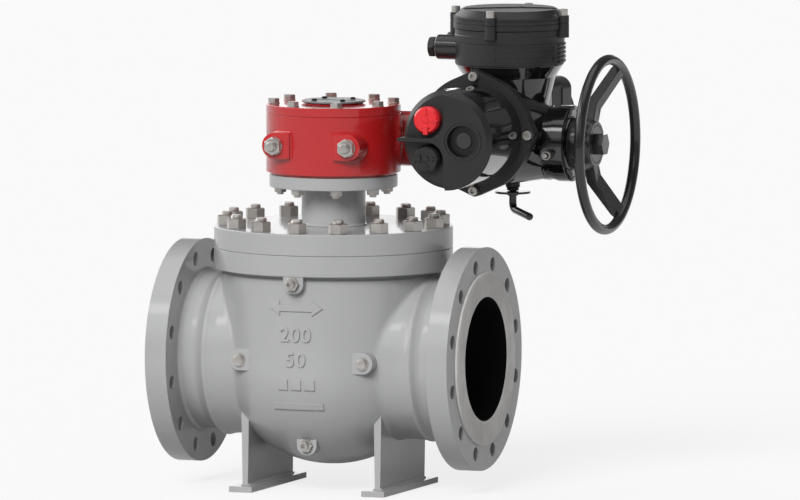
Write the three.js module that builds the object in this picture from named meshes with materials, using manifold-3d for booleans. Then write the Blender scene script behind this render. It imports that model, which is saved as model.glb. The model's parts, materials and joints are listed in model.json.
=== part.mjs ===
// Expanding plug valve, 8 inch class 300, with a quarter-turn worm gearbox and an electric actuator.
// Millimetres, +Z up, +X along the pipe, front of the valve towards -Y. Everything is laid out from
// the point where the stem axis crosses the bore axis; the exported group then lifts that point by
// BORE_HEIGHT, so the frame origin is the centre of the flat pad under the body.
import * as THREE from "three";
import { mergeVertices } from "three/addons/utils/BufferGeometryUtils.js";
import { ConvexGeometry } from "three/addons/geometries/ConvexGeometry.js";
import { ParametricGeometry } from "three/addons/geometries/ParametricGeometry.js";
import Module from "manifold-3d";

const wasm = await Module();
wasm.setup();

// ---------------------------------------------------------------- driving dimensions
const DEGREE = Math.PI / 180;
const GAP = 0.35; // clearance left between pieces that touch on the real valve

const FACE_X = 278; // raised face of each pipe flange, from the stem axis
const RAISED_FACE = { radius: 149, height: 3.5 };
const FLANGE = { radius: 190.5, thickness: 38.5, holes: 12, holeRadius: 13, circle: 165.1 };
const BORE = { mouth: 106.5, port: 84 };
const NOZZLE_RADIUS = 141;
const HUB_RADIUS = 134;

const BARREL_RADIUS = 190;
const BOWL = { centreZ: -13, depth: 175 }; // half ellipsoid that closes the barrel
const BORE_HEIGHT = 186; // bore axis above the pad under the body
const BODY_RIM = { radius: 204.8, low: 149.8, high: 185.5 };
const CAVITY = {
  radius: 148, floor: -108, coneRadius: 100, coneFloor: -124, socketRadius: 32, socketFloor: -169,
};

const BONNET_TOP = 222.9;
const SPIGOT_LOW = 140;
const GASKET = { inner: 150, outer: 166, seat: 183 };
const STUDS = { count: 16, circle: 183, radius: 10, holeRadius: 11, low: 157 };
const NUT = { acrossFlats: 30, height: 17 };

const FITTING = { holeRadius: 9, depth: 14 };
const SIDE_LUG = { x: 112, z: 1, radius: 17.1, faceY: -165, shoulder: 17.4 };
const TOP_LUG = { x: 0, z: 137.8, radius: 16.8, faceY: -203, shoulder: 12 };
const BOTTOM_LUG = { x: 0, z: -145, radius: 16.8, faceY: -135.6, shoulder: 13 };

const FOOT = { x: 120.5, floor: -230, plate: 10, plateHalfX: 20, plateHalfY: 136 };
const WEB = { halfY: 112, halfXLow: 4.6, halfXHigh: 7.2, top: -70 };

const STEM_RADIUS = 20;
const TRUNNION = { upper: 40, lower: 26.5, top: 172, bottom: -148 };
const PACKING = { radius: 32, low: 190, high: 212 };
const YOKE = { radius: 54.9, inner: 45, flangeRadius: 109.9, flangeLow: 289.2, flangeHigh: 310.8 };

const LIFT = 20; // the plug drops this far to press its slips on the seats
const WEDGE = 10 * DEGREE; // slope of the plug's slip faces
const PLUG = { radius: 140, low: -95, high: 105, slipFace: 94, port: 78 };
const RAIL = { neck: 20, head: 28, depth: 8, low: -85, high: 92, clearance: 0.7 };
const SLIP = { halfWidth: 97, halfHeight: 98, corner: 104, wall: 147.4, retreat: LIFT * Math.tan(WEDGE) };
const SEAL = { outer: 94, inner: 88, proud: 0.25, depth: 4 };

const CASE = { radius: 115.3, low: 315, high: 415.8, lipRadius: 108, chamber: 100, floor: 326 };
const COVER_TOP = 431.5;
const BOLT_PHASE = 22.5 * DEGREE;
const STOP_PAD = { x: 66.5, radius: 22.4, shoulder: 27.5, faceY: -115.3 };
const STOP_SCREW = { radius: 9, tipY: -36.5, endY: -134 };
const DRIVE = { axisY: 104, axisZ: 365.4 }; // worm, output column and handwheel share this axis
const WHEEL = { teeth: 40, pitchRadius: 82, sleeve: 42, from: -25, to: 115, face: 26 };
const WORM = { pitchRadius: DRIVE.axisY - WHEEL.pitchRadius, journal: 12, from: -82, to: 150 };
const STEM_SQUARE = { half: 13.8, hole: 14.4, low: 350, high: 424 };

const ADAPTER = { from: 124, to: 178.5, radius: 47.4, flange: 62, bore: 30 };
const COLUMN = { radius: 62, ring: 65.5, ringX: 378, end: 400, bore: 40 };
const CONTROL = {
  x: 257.5, z: 387, radius: 85.6, faceRadius: 77, bevel: 9, faceY: -161, stepY: -130, backY: 8,
};
const CONTROL_RING = { radius: 99, earCircle: 98, earRadius: 9.5, thick: 12 };
const KNOB = { x: -36.5, z: 32.8, radius: 23.5, faceY: -148 };
const POCKET = { x: -31, z: 33.5, radius: 31, ridge: 2.2 };
const SIGHT = { x: 34, ring: 34.8, opening: 27, depth: 15, aperture: 22, lens: 13.7 };

const DRUM = { x: 283, y: 104, radius: 93.6, low: 499.8, rim: 562, joint: 571, shoulder: 582.5, top: 596 };
const DRUM_EAR = { circle: 97.7, radius: 9, low: 547, high: 585 };
const CONDUIT = { z: 527, spread: 26, radius: 21.4, end: 162, bore: 14 };

const MOTOR = { x: 268, z: 401.4, radius: 62, corner: 9, low: 190, bodyEnd: 286, high: 340 };
const RING = { teeth: 26, pitchRadius: 26 };
const MOTOR_WORM = { pitchRadius: MOTOR.z - DRIVE.axisZ - RING.pitchRadius, journal: 7 };
const SHAFT_RADIUS = 14;
const CLUTCH = { low: 318, high: 334, radius: 30, half: 9.8 };

const HANDWHEEL = {
  x: 460.4, radius: 145.5, tube: 9, hub: 44, nose: 35, noseX: 441.6, quill: 26, quillX: 334.7, thread: 9,
};
const LEVER = { x: 289, y: 104, rod: 6.4, disc: 30.5, discZ: 276.5, bendZ: 250, reach: [50, -50, -9] };

// ---------------------------------------------------------------- materials
const finish = (color, roughness, metalness = 0) => () =>
  new THREE.MeshStandardMaterial({ color, roughness, metalness });
const GREY_PAINT = finish(0xa4a5a6, 0.45);
const CAST_STEEL = finish(0x6f6f70, 0.5, 0.8);
const STEEL = finish(0xb4afaa, 0.35, 0.9);
const RED_PAINT = finish(0xb8181c, 0.3);
const BLACK_PAINT = finish(0x1c1c1d, 0.3);
const BLACK_PLASTIC = finish(0x2b2b2c, 0.55);
const RED_PLASTIC = finish(0xd9282c, 0.45);
const BRONZE = finish(0xa67a3c, 0.4, 0.9);
const RUBBER = finish(0x1a1a1a, 0.8);
const LENS = finish(0x3a3a3b, 0.15);

// ---------------------------------------------------------------- shape helpers
// A closed three.js geometry as a manifold-3d solid, turned right side out if need be.
function solid(geometry) {
  const flat = geometry.index ? geometry.toNonIndexed() : geometry;
  const bare = new THREE.BufferGeometry().setAttribute("position", flat.getAttribute("position"));
  const merged = mergeVertices(bare, 1e-4);
  const corners = [];
  for (let i = 0; i < merged.index.count; i += 3) {
    const [a, b, c] = [0, 1, 2].map((k) => merged.index.getX(i + k));
    if (a !== b && b !== c && c !== a) corners.push([a, b, c]);
  }
  const build = (triangles) =>
    new wasm.Manifold(
      new wasm.Mesh({
        numProp: 3,
        vertProperties: new Float32Array(merged.getAttribute("position").array),
        triVerts: new Uint32Array(triangles.flat()),
      }),
    );
  const made = build(corners);
  return made.volume() > 0 ? made : build(corners.map(([a, b, c]) => [a, c, b]));
}

function geometryOf(manifold) {
  const mesh = manifold.getMesh();
  const positions = new Float32Array(mesh.numVert * 3);
  for (let i = 0; i < mesh.numVert; i++) {
    positions.set(mesh.vertProperties.subarray(i * mesh.numProp, i * mesh.numProp + 3), i * 3);
  }
  return new THREE.BufferGeometry()
    .setAttribute("position", new THREE.BufferAttribute(positions, 3))
    .setIndex(new THREE.BufferAttribute(new Uint32Array(mesh.triVerts), 1));
}

const join = (...shapes) => geometryOf(shapes.map(solid).reduce((sum, next) => sum.add(next)));
const cut = (base, ...tools) =>
  geometryOf(tools.map(solid).reduce((rest, tool) => rest.subtract(tool), solid(base)));
const common = (...shapes) => geometryOf(shapes.map(solid).reduce((rest, next) => rest.intersect(next)));

// Turns a profile of [radius, height] points about an axis. A profile off the axis is closed on itself.
function turned(axis, profile, segments = 28) {
  const points = profile.map(([r, h]) => new THREE.Vector2(r, h));
  if (profile[0][0] > 0) points.push(points[0].clone());
  const geometry = new THREE.LatheGeometry(points, segments);
  if (axis === "z") geometry.rotateX(Math.PI / 2);
  if (axis === "x") geometry.rotateZ(-Math.PI / 2);
  return geometry;
}

const rod = (axis, radius, from, to, segments = 20) =>
  turned(axis, [[0, from], [radius, from], [radius, to], [0, to]], segments);

const tube = (axis, outer, inner, from, to, segments = 20) =>
  turned(axis, [[inner, from], [outer, from], [outer, to], [inner, to]], segments);

const block = (x0, x1, y0, y1, z0, z1) =>
  new THREE.BoxGeometry(x1 - x0, y1 - y0, z1 - z0).translate((x0 + x1) / 2, (y0 + y1) / 2, (z0 + z1) / 2);

// Extrudes an outline along an axis. The outline is [x, y] for z, [y, z] for x and [x, z] for y.
function prism(axis, outline, from, to) {
  const shape = outline.isShape ? outline : new THREE.Shape(outline.map(([a, b]) => new THREE.Vector2(a, b)));
  const geometry = new THREE.ExtrudeGeometry(shape, {
    depth: to - from,
    bevelEnabled: false,
    curveSegments: 8,
  });
  if (axis === "z") return geometry.translate(0, 0, from);
  if (axis === "y") return geometry.rotateX(Math.PI / 2).translate(0, to, 0);
  const alongX = new THREE.Matrix4().set(0, 0, 1, from, 1, 0, 0, 0, 0, 1, 0, 0, 0, 0, 0, 1);
  return geometry.applyMatrix4(alongX);
}

const regular = (count, radius, phase = 0) =>
  Array.from({ length: count }, (_, i) => {
    const angle = phase + (2 * Math.PI * i) / count;
    return [radius * Math.cos(angle), radius * Math.sin(angle)];
  });

const roundedSquare = (half, corner) =>
  regular(4, (half - corner) * Math.SQRT2, 45 * DEGREE).flatMap(([x, y], i) =>
    [0, 22.5, 45, 67.5, 90].map((turn) => {
      const angle = (i * 90 + turn) * DEGREE;
      return [x + corner * Math.cos(angle), y + corner * Math.sin(angle)];
    }));

const hexagon = (acrossFlats, phase = 0) => regular(6, acrossFlats / Math.sqrt(3), phase);

// A disc with a square shoulder on its -x side.
function dOutline(radius, shoulder) {
  const outline = new THREE.Shape();
  outline.moveTo(-shoulder, -radius);
  outline.lineTo(0, -radius);
  outline.absarc(0, 0, radius, -Math.PI / 2, Math.PI / 2, false);
  outline.lineTo(-shoulder, radius);
  outline.closePath();
  return outline;
}

// A one-start helical thread about +Y that shrinks to a point inside the core at both ends. At height
// 0 it points along +Z turned by `phase` towards +X.
function thread({ root, tip, rootWidth, tipWidth, lead, length, phase }) {
  const section = [[root, -rootWidth / 2], [tip, -tipWidth / 2], [tip, tipWidth / 2], [root, rootWidth / 2]];
  const turns = length / lead;
  const stacks = Math.round(turns * 8);
  const start = root - 1;
  const place = (u, v, target) => {
    const [radius, along] = section[Math.round(u * 4) % 4];
    const share = Math.min(1, (v * stacks) / 3, ((1 - v) * stacks) / 3);
    const angle = (v - 0.5) * turns * 2 * Math.PI;
    const r = start + (radius - start) * share;
    const height = (lead * angle) / (2 * Math.PI) + along * share;
    target.set(r * Math.sin(angle + phase), height, r * Math.cos(angle + phase));
  };
  return new ParametricGeometry(place, 4, stacks);
}

// Outline points of the teeth numbered first to last on a wheel; tooth 0 points along the first axis.
function toothOutline(teeth, first, last, [rootRadius, rootWidth], [tipRadius, tipWidth]) {
  const points = [];
  for (let tooth = first; tooth <= last; tooth++) {
    const centre = (2 * Math.PI * tooth) / teeth;
    const corners = [
      [rootRadius, -rootWidth], [tipRadius, -tipWidth], [tipRadius, tipWidth], [rootRadius, rootWidth],
    ];
    for (const [radius, width] of corners) {
      const angle = centre + width / 2 / radius;
      points.push([radius * Math.cos(angle), radius * Math.sin(angle)]);
    }
  }
  return points;
}

// Convex body wrapped round a set of shapes.
function wrapped(...shapes) {
  const points = shapes.flatMap((shape) => {
    const position = shape.getAttribute("position");
    const corner = (_, i) => new THREE.Vector3().fromBufferAttribute(position, i);
    return Array.from({ length: position.count }, corner);
  });
  return new ConvexGeometry(points);
}

const model = new THREE.Group();
model.position.z = BORE_HEIGHT;
function add(name, geometry, material) {
  const mesh = new THREE.Mesh(geometry, material());
  mesh.name = name;
  model.add(mesh);
  return mesh;
}

// ---------------------------------------------------------------- valve body and feet
// Outer skin of the barrel, grown outwards by `grow`; it ends in the flat pad under the body.
function barrelSkin(grow = 0) {
  const padAngle = Math.asin((BORE_HEIGHT + BOWL.centreZ) / BOWL.depth);
  const steps = 6;
  const bowl = Array.from({ length: steps + 1 }, (_, i) => {
    const angle = (padAngle * (steps - i)) / steps;
    const z = BOWL.centreZ - BOWL.depth * Math.sin(angle) - (i === 0 ? grow : 0);
    return [BARREL_RADIUS * Math.cos(angle) + grow, z];
  });
  const neck = BARREL_RADIUS - 3 + grow;
  const profile = [
    [0, bowl[0][1]], ...bowl, [BARREL_RADIUS + grow, 141], [neck, 145], [neck, BODY_RIM.low + 1],
    [0, BODY_RIM.low + 1],
  ];
  return turned("z", profile);
}

function nozzleSkin(grow = 0) {
  const end = FACE_X - RAISED_FACE.height - 1;
  const right = [
    [NOZZLE_RADIUS + grow, 170], [NOZZLE_RADIUS + 3 + grow, 184], [NOZZLE_RADIUS + 3 + grow, 189],
    [HUB_RADIUS + 2 + grow, 199], [HUB_RADIUS + grow, 204], [HUB_RADIUS + grow, end],
  ];
  const left = right.map(([r, x]) => [r, -x]).reverse();
  return turned("x", [[0, -end], ...left, ...right, [0, end]]);
}

function lug({ x, z, radius, faceY, shoulder }, turn, backY) {
  const pad = new THREE.ExtrudeGeometry(dOutline(radius, shoulder), {
    depth: backY - faceY,
    bevelEnabled: false,
    curveSegments: 6,
  });
  return pad.rotateZ(turn).rotateX(Math.PI / 2).translate(x, backY, z);
}

function bodyCasting() {
  const bolting = FACE_X - RAISED_FACE.height;
  const flange = join(
    rod("x", FLANGE.radius, bolting - FLANGE.thickness, bolting, 28),
    rod("x", RAISED_FACE.radius, bolting - 2, FACE_X, 28),
  );
  const leftLug = { ...SIDE_LUG, x: -SIDE_LUG.x };
  const skin = join(
    barrelSkin(),
    nozzleSkin(),
    rod("z", BODY_RIM.radius, BODY_RIM.low, BODY_RIM.high, 28),
    flange,
    flange.clone().rotateZ(Math.PI),
    lug(SIDE_LUG, 0, -120),
    lug(leftLug, Math.PI, -120),
    lug(TOP_LUG, -Math.PI / 2, -160),
    lug(BOTTOM_LUG, -Math.PI / 2, -70),
  );
  const bore = turned("x", [
    [0, -FACE_X - 1], [BORE.mouth, -FACE_X - 1], [BORE.mouth, -220], [BORE.port, -CAVITY.radius + 4],
    [BORE.port, CAVITY.radius - 4], [BORE.mouth, 220], [BORE.mouth, FACE_X + 1], [0, FACE_X + 1],
  ], 20);
  const chamber = turned("z", [
    [0, CAVITY.socketFloor],
    [CAVITY.socketRadius, CAVITY.socketFloor], [CAVITY.socketRadius, CAVITY.coneFloor],
    [CAVITY.coneRadius, CAVITY.coneFloor], [CAVITY.radius, CAVITY.floor], [CAVITY.radius, GASKET.seat],
    [GASKET.outer + 2, GASKET.seat], [GASKET.outer + 2, BODY_RIM.high + 1], [0, BODY_RIM.high + 1],
  ]);
  const studHoles = regular(STUDS.count, STUDS.circle).map(([x, y]) =>
    rod("z", STUDS.holeRadius, STUDS.low - 2, BODY_RIM.high + 1, 6).translate(x, y, 0));
  const pipeHoles = [-1, 1].flatMap((hand) =>
    regular(FLANGE.holes, FLANGE.circle, 15 * DEGREE).map(([y, z]) =>
      rod("x", FLANGE.holeRadius, -30, 30, 7).translate(hand * (bolting - FLANGE.thickness / 2), y, z)));
  const fittingHoles = [SIDE_LUG, leftLug, TOP_LUG, BOTTOM_LUG].map(({ x, z, faceY }) =>
    rod("y", FITTING.holeRadius, faceY - 1, faceY + FITTING.depth, 8).translate(x, 0, z));
  return cut(skin, bore, chamber, ...studHoles, ...pipeHoles, ...fittingHoles);
}

// A web shaped to the body above it, thinner towards the floor, on a base plate.
function foot(hand) {
  const floor = FOOT.floor;
  const web = prism("y", [
    [-WEB.halfXLow, floor + 1], [WEB.halfXLow, floor + 1],
    [WEB.halfXHigh, WEB.top], [-WEB.halfXHigh, WEB.top],
  ], -WEB.halfY, WEB.halfY);
  const { plateHalfX, plateHalfY, plate } = FOOT;
  const base = block(-plateHalfX, plateHalfX, -plateHalfY, plateHalfY, floor, floor + plate);
  const whole = join(web, base).translate(hand * FOOT.x, 0, 0);
  return cut(whole, barrelSkin(GAP), nozzleSkin(GAP));
}

// Screwed fitting with its seat at y = 0: a spigot into the body, a hexagon and a round nose.
function fitting(hexSize, hexLength, noseRadius, noseLength) {
  const front = -GAP - hexLength;
  return join(
    rod("y", FITTING.holeRadius - 0.5, -1, FITTING.depth - 2, 8),
    prism("y", hexagon(hexSize), front, -GAP),
    rod("y", noseRadius, front - noseLength, front + 1, 8),
  );
}

add("body_casting", bodyCasting(), GREY_PAINT);
add("foot_left", foot(-1), GREY_PAINT);
add("foot_right", foot(1), GREY_PAINT);
add("vent_fitting", fitting(21, 9, 7.5, 10), STEEL).position.set(0, TOP_LUG.faceY, TOP_LUG.z);
add("drain_fitting", fitting(21, 8, 7.5, 9), STEEL).position.set(0, BOTTOM_LUG.faceY, BOTTOM_LUG.z);
for (const [side, hand] of [["left", -1], ["right", 1]]) {
  const plug = add(`side_plug_${side}`, fitting(15, 4, 9, 5), STEEL);
  plug.position.set(hand * SIDE_LUG.x, SIDE_LUG.faceY, SIDE_LUG.z);
}

// ---------------------------------------------------------------- bonnet, studs, packing and yoke
function bonnet() {
  const bottom = BODY_RIM.high + GAP;
  const spigot = CAVITY.radius - 1;
  const disc = turned("z", [
    [0, SPIGOT_LOW], [spigot, SPIGOT_LOW], [spigot, bottom], [BODY_RIM.radius, bottom],
    [BODY_RIM.radius, BONNET_TOP - 2], [BODY_RIM.radius - 2, BONNET_TOP], [0, BONNET_TOP],
  ]);
  const stemHole = STEM_RADIUS + 0.8;
  const hole = turned("z", [
    [0, SPIGOT_LOW - 1], [47, SPIGOT_LOW - 1], [47, TRUNNION.top + 4], [stemHole, TRUNNION.top + 4],
    [stemHole, PACKING.low], [PACKING.radius, PACKING.low],
    [PACKING.radius, BONNET_TOP + 1], [0, BONNET_TOP + 1],
  ], 20);
  const studHoles = regular(STUDS.count, STUDS.circle).map(([x, y]) =>
    rod("z", STUDS.holeRadius, bottom - 1, BONNET_TOP + 1, 6).translate(x, y, 0));
  return cut(disc, hole, ...studHoles);
}

function studWithNut() {
  const seat = BONNET_TOP + GAP;
  const end = seat + NUT.height + 6.5;
  const shank = rod("z", STUDS.radius, STUDS.low, end, 6);
  return join(shank, prism("z", hexagon(NUT.acrossFlats), seat, seat + NUT.height));
}

function yoke() {
  const { radius, inner, flangeRadius, flangeLow, flangeHigh } = YOKE;
  const stool = turned("z", [
    [inner, BONNET_TOP + GAP], [radius, BONNET_TOP + GAP], [radius, flangeLow], [flangeRadius - 3, flangeLow],
    [flangeRadius, flangeLow + 3], [flangeRadius, flangeHigh], [inner, flangeHigh],
  ], 20);
  const bolts = regular(8, 91.5, BOLT_PHASE).map(([x, y]) =>
    join(prism("z", hexagon(19), flangeLow - 10, flangeLow + 1), rod("z", 6, flangeLow - 14, flangeLow, 8))
      .translate(x, y, 0));
  return join(stool, ...bolts);
}

add("bonnet", bonnet(), GREY_PAINT);
const gasket = tube("z", GASKET.outer, GASKET.inner, GASKET.seat + GAP, BODY_RIM.high - 0.1, 20);
add("bonnet_gasket", gasket, RUBBER);
add("upper_bushing", tube("z", 46.5, TRUNNION.upper + 1, SPIGOT_LOW + 1, TRUNNION.top - 1, 20), BRONZE);
const socketTop = CAVITY.coneFloor - 0.5;
add("lower_bushing", tube("z", 31.5, TRUNNION.lower + 1.2, -160, socketTop, 16), BRONZE);
const packing = tube("z", PACKING.radius - 0.5, STEM_RADIUS + 0.7, PACKING.low + GAP, PACKING.high, 16);
add("packing_set", packing, RUBBER);
add("packing_gland", turned("z", [
  [STEM_RADIUS + 0.8, PACKING.high + GAP], [PACKING.radius - 0.5, PACKING.high + GAP],
  [PACKING.radius - 0.5, BONNET_TOP + 3], [41, BONNET_TOP + 3], [41, BONNET_TOP + 11],
  [STEM_RADIUS + 0.8, BONNET_TOP + 11],
], 16), STEEL);
add("yoke", yoke(), GREY_PAINT);
regular(STUDS.count, STUDS.circle).forEach(([x, y], i) => {
  const stud = add(`bonnet_stud_${String(i + 1).padStart(2, "0")}`, studWithNut(), STEEL);
  stud.position.set(x, y, 0);
});

// ---------------------------------------------------------------- plug, slips, seals and stem
// The valve is open here: the port lies along the pipe, the plug is raised and the slips stand clear
// of the body, one at the front (side -1) and one at the rear (side 1).
const between = (a, b) => [Math.min(a, b), Math.max(a, b)];

// Tilts a shape built outwards from the plane y = 0 onto one slip face of the plug.
const onSlipFace = (geometry, side) =>
  geometry.rotateX(-side * WEDGE).translate(0, side * PLUG.slipFace, 0);

function rail(side, grow, low, high) {
  const outer = side * (RAIL.depth + grow);
  return onSlipFace(prism("z", [
    [-RAIL.neck - grow, -side * 3], [RAIL.neck + grow, -side * 3], [RAIL.neck + grow, 0],
    [RAIL.head + grow, outer], [-RAIL.head - grow, outer], [-RAIL.neck - grow, 0],
  ], low, high), side);
}

function plug() {
  const { upper, lower, top, bottom } = TRUNNION;
  const round = turned("z", [
    [0, bottom], [lower, bottom], [lower, PLUG.low], [104, PLUG.low], [PLUG.radius, PLUG.low + 50],
    [PLUG.radius, PLUG.high], [upper, PLUG.high], [upper, top], [0, top],
  ]);
  const trims = [-1, 1].map((side) =>
    onSlipFace(block(-200, 200, ...between(0, side * 200), -200, 135), side));
  const rails = [-1, 1].map((side) => rail(side, 0, RAIL.low, RAIL.high));
  const socket = block(-15, 15, -15, 15, top - 40, top + 1);
  return cut(join(cut(round, ...trims), ...rails), rod("x", PLUG.port, -200, 200, 20), socket);
}

// Part-cylinder that matches the body wall once the slip has moved out by its full retreat.
const slipWall = (side, radius) => rod("z", radius, -150, 150, 28).translate(0, -side * SLIP.retreat, 0);

function sealRing(side, grow) {
  const radius = SLIP.wall + SEAL.proud + grow;
  const shell = cut(slipWall(side, radius), slipWall(side, SLIP.wall - SEAL.depth - grow));
  const ring = tube("y", SEAL.outer + grow, SEAL.inner - grow, ...between(side * 60, side * 160), 20);
  return common(shell, ring);
}

function slip(side) {
  const { halfWidth, halfHeight, corner, wall } = SLIP;
  const outline = common(
    slipWall(side, wall),
    rod("y", corner, ...between(side * 40, side * 160), 20),
    block(-halfWidth, halfWidth, ...between(side * 40, side * 160), -halfHeight, halfHeight),
  );
  const behind = onSlipFace(block(-200, 200, ...between(side * GAP, -side * 200), -300, 300), side);
  return cut(outline, behind, rail(side, RAIL.clearance, -160, 160), sealRing(side, 0.3));
}

function stem() {
  const { half, low, high } = STEM_SQUARE;
  return join(
    block(-14.5, 14.5, -14.5, 14.5, TRUNNION.top - 38, TRUNNION.top + 2),
    rod("z", STEM_RADIUS, TRUNNION.top + GAP, low + 2, 16),
    block(-half, half, -half, half, low, high),
  );
}

add("plug", plug(), CAST_STEEL);
add("stem", stem(), STEEL);
add("slip_front", slip(-1), STEEL);
add("slip_rear", slip(1), STEEL);
add("seal_front", sealRing(-1, 0), RUBBER);
add("seal_rear", sealRing(1, 0), RUBBER);

// ---------------------------------------------------------------- gearbox
const onDriveAxis = (geometry) => geometry.translate(0, DRIVE.axisY, DRIVE.axisZ);

function stopPad(hand) {
  const { x, radius, shoulder, faceY } = STOP_PAD;
  const pad = new THREE.ExtrudeGeometry(dOutline(radius, shoulder), {
    depth: 60,
    bevelEnabled: false,
    curveSegments: 8,
  });
  if (hand < 0) pad.rotateZ(Math.PI);
  return pad.rotateX(Math.PI / 2).translate(hand * x, faceY + 60, DRIVE.axisZ);
}

function gearboxCase() {
  const { radius, low, high, lipRadius, chamber, floor } = CASE;
  const bottom = YOKE.flangeHigh + GAP;
  const shell = turned("z", [
    [0, bottom], [lipRadius, bottom], [lipRadius, low], [radius, low], [radius, high], [0, high],
  ]);
  const wormTube = onDriveAxis(rod("x", ADAPTER.radius, -98, ADAPTER.from, 20));
  const wormBore = onDriveAxis(rod("x", ADAPTER.bore, -84, ADAPTER.from + 1, 16));
  const wheelSeat = turned("z", [
    [0, 300], [STEM_RADIUS + 4, 300], [STEM_RADIUS + 4, 317], [WHEEL.sleeve + 1, 317],
    [WHEEL.sleeve + 1, floor + 1], [0, floor + 1],
  ], 20);
  const screwBores = [-1, 1].map((hand) =>
    rod("y", STOP_SCREW.radius + 0.8, -120, -40, 8).translate(hand * STOP_PAD.x, 0, DRIVE.axisZ));
  return cut(
    join(shell, wormTube, stopPad(1), stopPad(-1)),
    rod("z", chamber, floor, high + 1, 28),
    wormBore,
    wheelSeat,
    ...screwBores,
  );
}

function gearboxCover() {
  const { radius, high } = CASE;
  const hole = WHEEL.sleeve + 1;
  const lid = turned("z", [
    [hole, high + GAP], [radius, high + GAP], [radius, COVER_TOP - 1.5], [radius - 1.5, COVER_TOP],
    [51, COVER_TOP], [51, COVER_TOP + 1.6], [hole, COVER_TOP + 1.6],
  ]);
  const heads = regular(8, 102.7, BOLT_PHASE).map(([x, y]) =>
    prism("z", hexagon(18), COVER_TOP - 1, COVER_TOP + 8).translate(x, y, 0));
  return join(lid, ...heads);
}

// Worm wheel cut over a little more than a quarter turn, on the sleeve that drives the stem. Its two
// straight flanks meet the stop screws at the ends of the travel.
function wormSector() {
  const { teeth, pitchRadius, sleeve, from, to, face } = WHEEL;
  const first = Math.ceil((from * teeth) / 360 + 0.3);
  const last = Math.floor((to * teeth) / 360 - 0.3);
  const rootRadius = pitchRadius - 4.4;
  const flank = (angle) => [rootRadius * Math.cos(angle * DEGREE), rootRadius * Math.sin(angle * DEGREE)];
  const rim = toothOutline(teeth, first, last, [rootRadius, 5.6], [pitchRadius + 3.2, 3.2]);
  const outline = [[0, 0], flank(from), ...rim, flank(to)];
  const slice = prism("z", outline, DRIVE.axisZ - face / 2, DRIVE.axisZ + face / 2);
  const { hole, low } = STEM_SQUARE;
  return cut(
    join(slice, rod("z", sleeve, 317 + GAP, COVER_TOP + 2.4, 20)),
    block(-hole, hole, -hole, hole, low, 440),
    rod("z", STEM_RADIUS + 2, 310, low + 6, 16),
  );
}

// Worm and shaft along +X. A gap of the thread faces the wheel's tooth at mid length.
function wormShaft() {
  const { pitchRadius, journal, from, to } = WORM;
  const root = pitchRadius - 4.4;
  const crest = thread({
    root,
    tip: pitchRadius + 3.2,
    rootWidth: 6,
    tipWidth: 3,
    lead: (2 * Math.PI * WHEEL.pitchRadius) / WHEEL.teeth,
    length: 44,
    phase: -Math.PI / 2,
  }).rotateZ(-Math.PI / 2);
  const core = turned("x", [
    [0, from], [journal, from], [journal, -58], [root, -56],
    [root, 56], [journal, 58], [journal, to], [0, to],
  ], 12);
  return onDriveAxis(join(core, crest));
}

function stopScrew() {
  const { radius, tipY, endY } = STOP_SCREW;
  const seat = STOP_PAD.faceY - GAP;
  const shank = turned("y", [
    [0, endY], [radius - 2, endY], [radius, endY + 2], [radius, tipY], [0, tipY],
  ], 8);
  return join(shank, prism("y", hexagon(27, Math.PI / 2), seat - 11, seat));
}

function indicatorPlate() {
  const bottom = COVER_TOP + 2.8;
  const screws = regular(4, 36.5, 45 * DEGREE).map(([x, y]) =>
    rod("z", 4.5, bottom + 2, bottom + 5, 8).translate(x, y, 0));
  return join(rod("z", 55, bottom, bottom + 2.8, 20), ...screws);
}

add("gearbox_case", gearboxCase(), RED_PAINT);
add("gearbox_cover", gearboxCover(), RED_PAINT);
add("worm_sector", wormSector(), BRONZE);
add("worm_shaft", wormShaft(), STEEL);
add("indicator_plate", indicatorPlate(), STEEL);
add("stop_screw_open", stopScrew(), STEEL).position.set(STOP_PAD.x, 0, DRIVE.axisZ);
add("stop_screw_closed", stopScrew(), STEEL).position.set(-STOP_PAD.x, 0, DRIVE.axisZ);
add("drive_adapter", onDriveAxis(turned("x", [
  [ADAPTER.bore, ADAPTER.from + GAP], [ADAPTER.radius, ADAPTER.from + GAP], [ADAPTER.radius, 166],
  [ADAPTER.flange, 166], [ADAPTER.flange, ADAPTER.to - GAP], [ADAPTER.bore, ADAPTER.to - GAP],
])), RED_PAINT);

// ---------------------------------------------------------------- actuator housings
const onControlAxis = (geometry) => geometry.translate(CONTROL.x, 0, CONTROL.z);
const onMotorAxis = (geometry) => geometry.translate(MOTOR.x, 0, MOTOR.z);
const onDrumAxis = (geometry) => geometry.translate(DRUM.x, DRUM.y, 0);

// Four-cornered ring between the control cover and the gear case.
function controlRing(low, high) {
  const { radius, earCircle, earRadius } = CONTROL_RING;
  const ears = regular(4, earCircle).map(([x, z]) => rod("y", earRadius, low, high, 8).translate(x, 0, z));
  return onControlAxis(wrapped(rod("y", radius, low, high, 28), ...ears));
}

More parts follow.
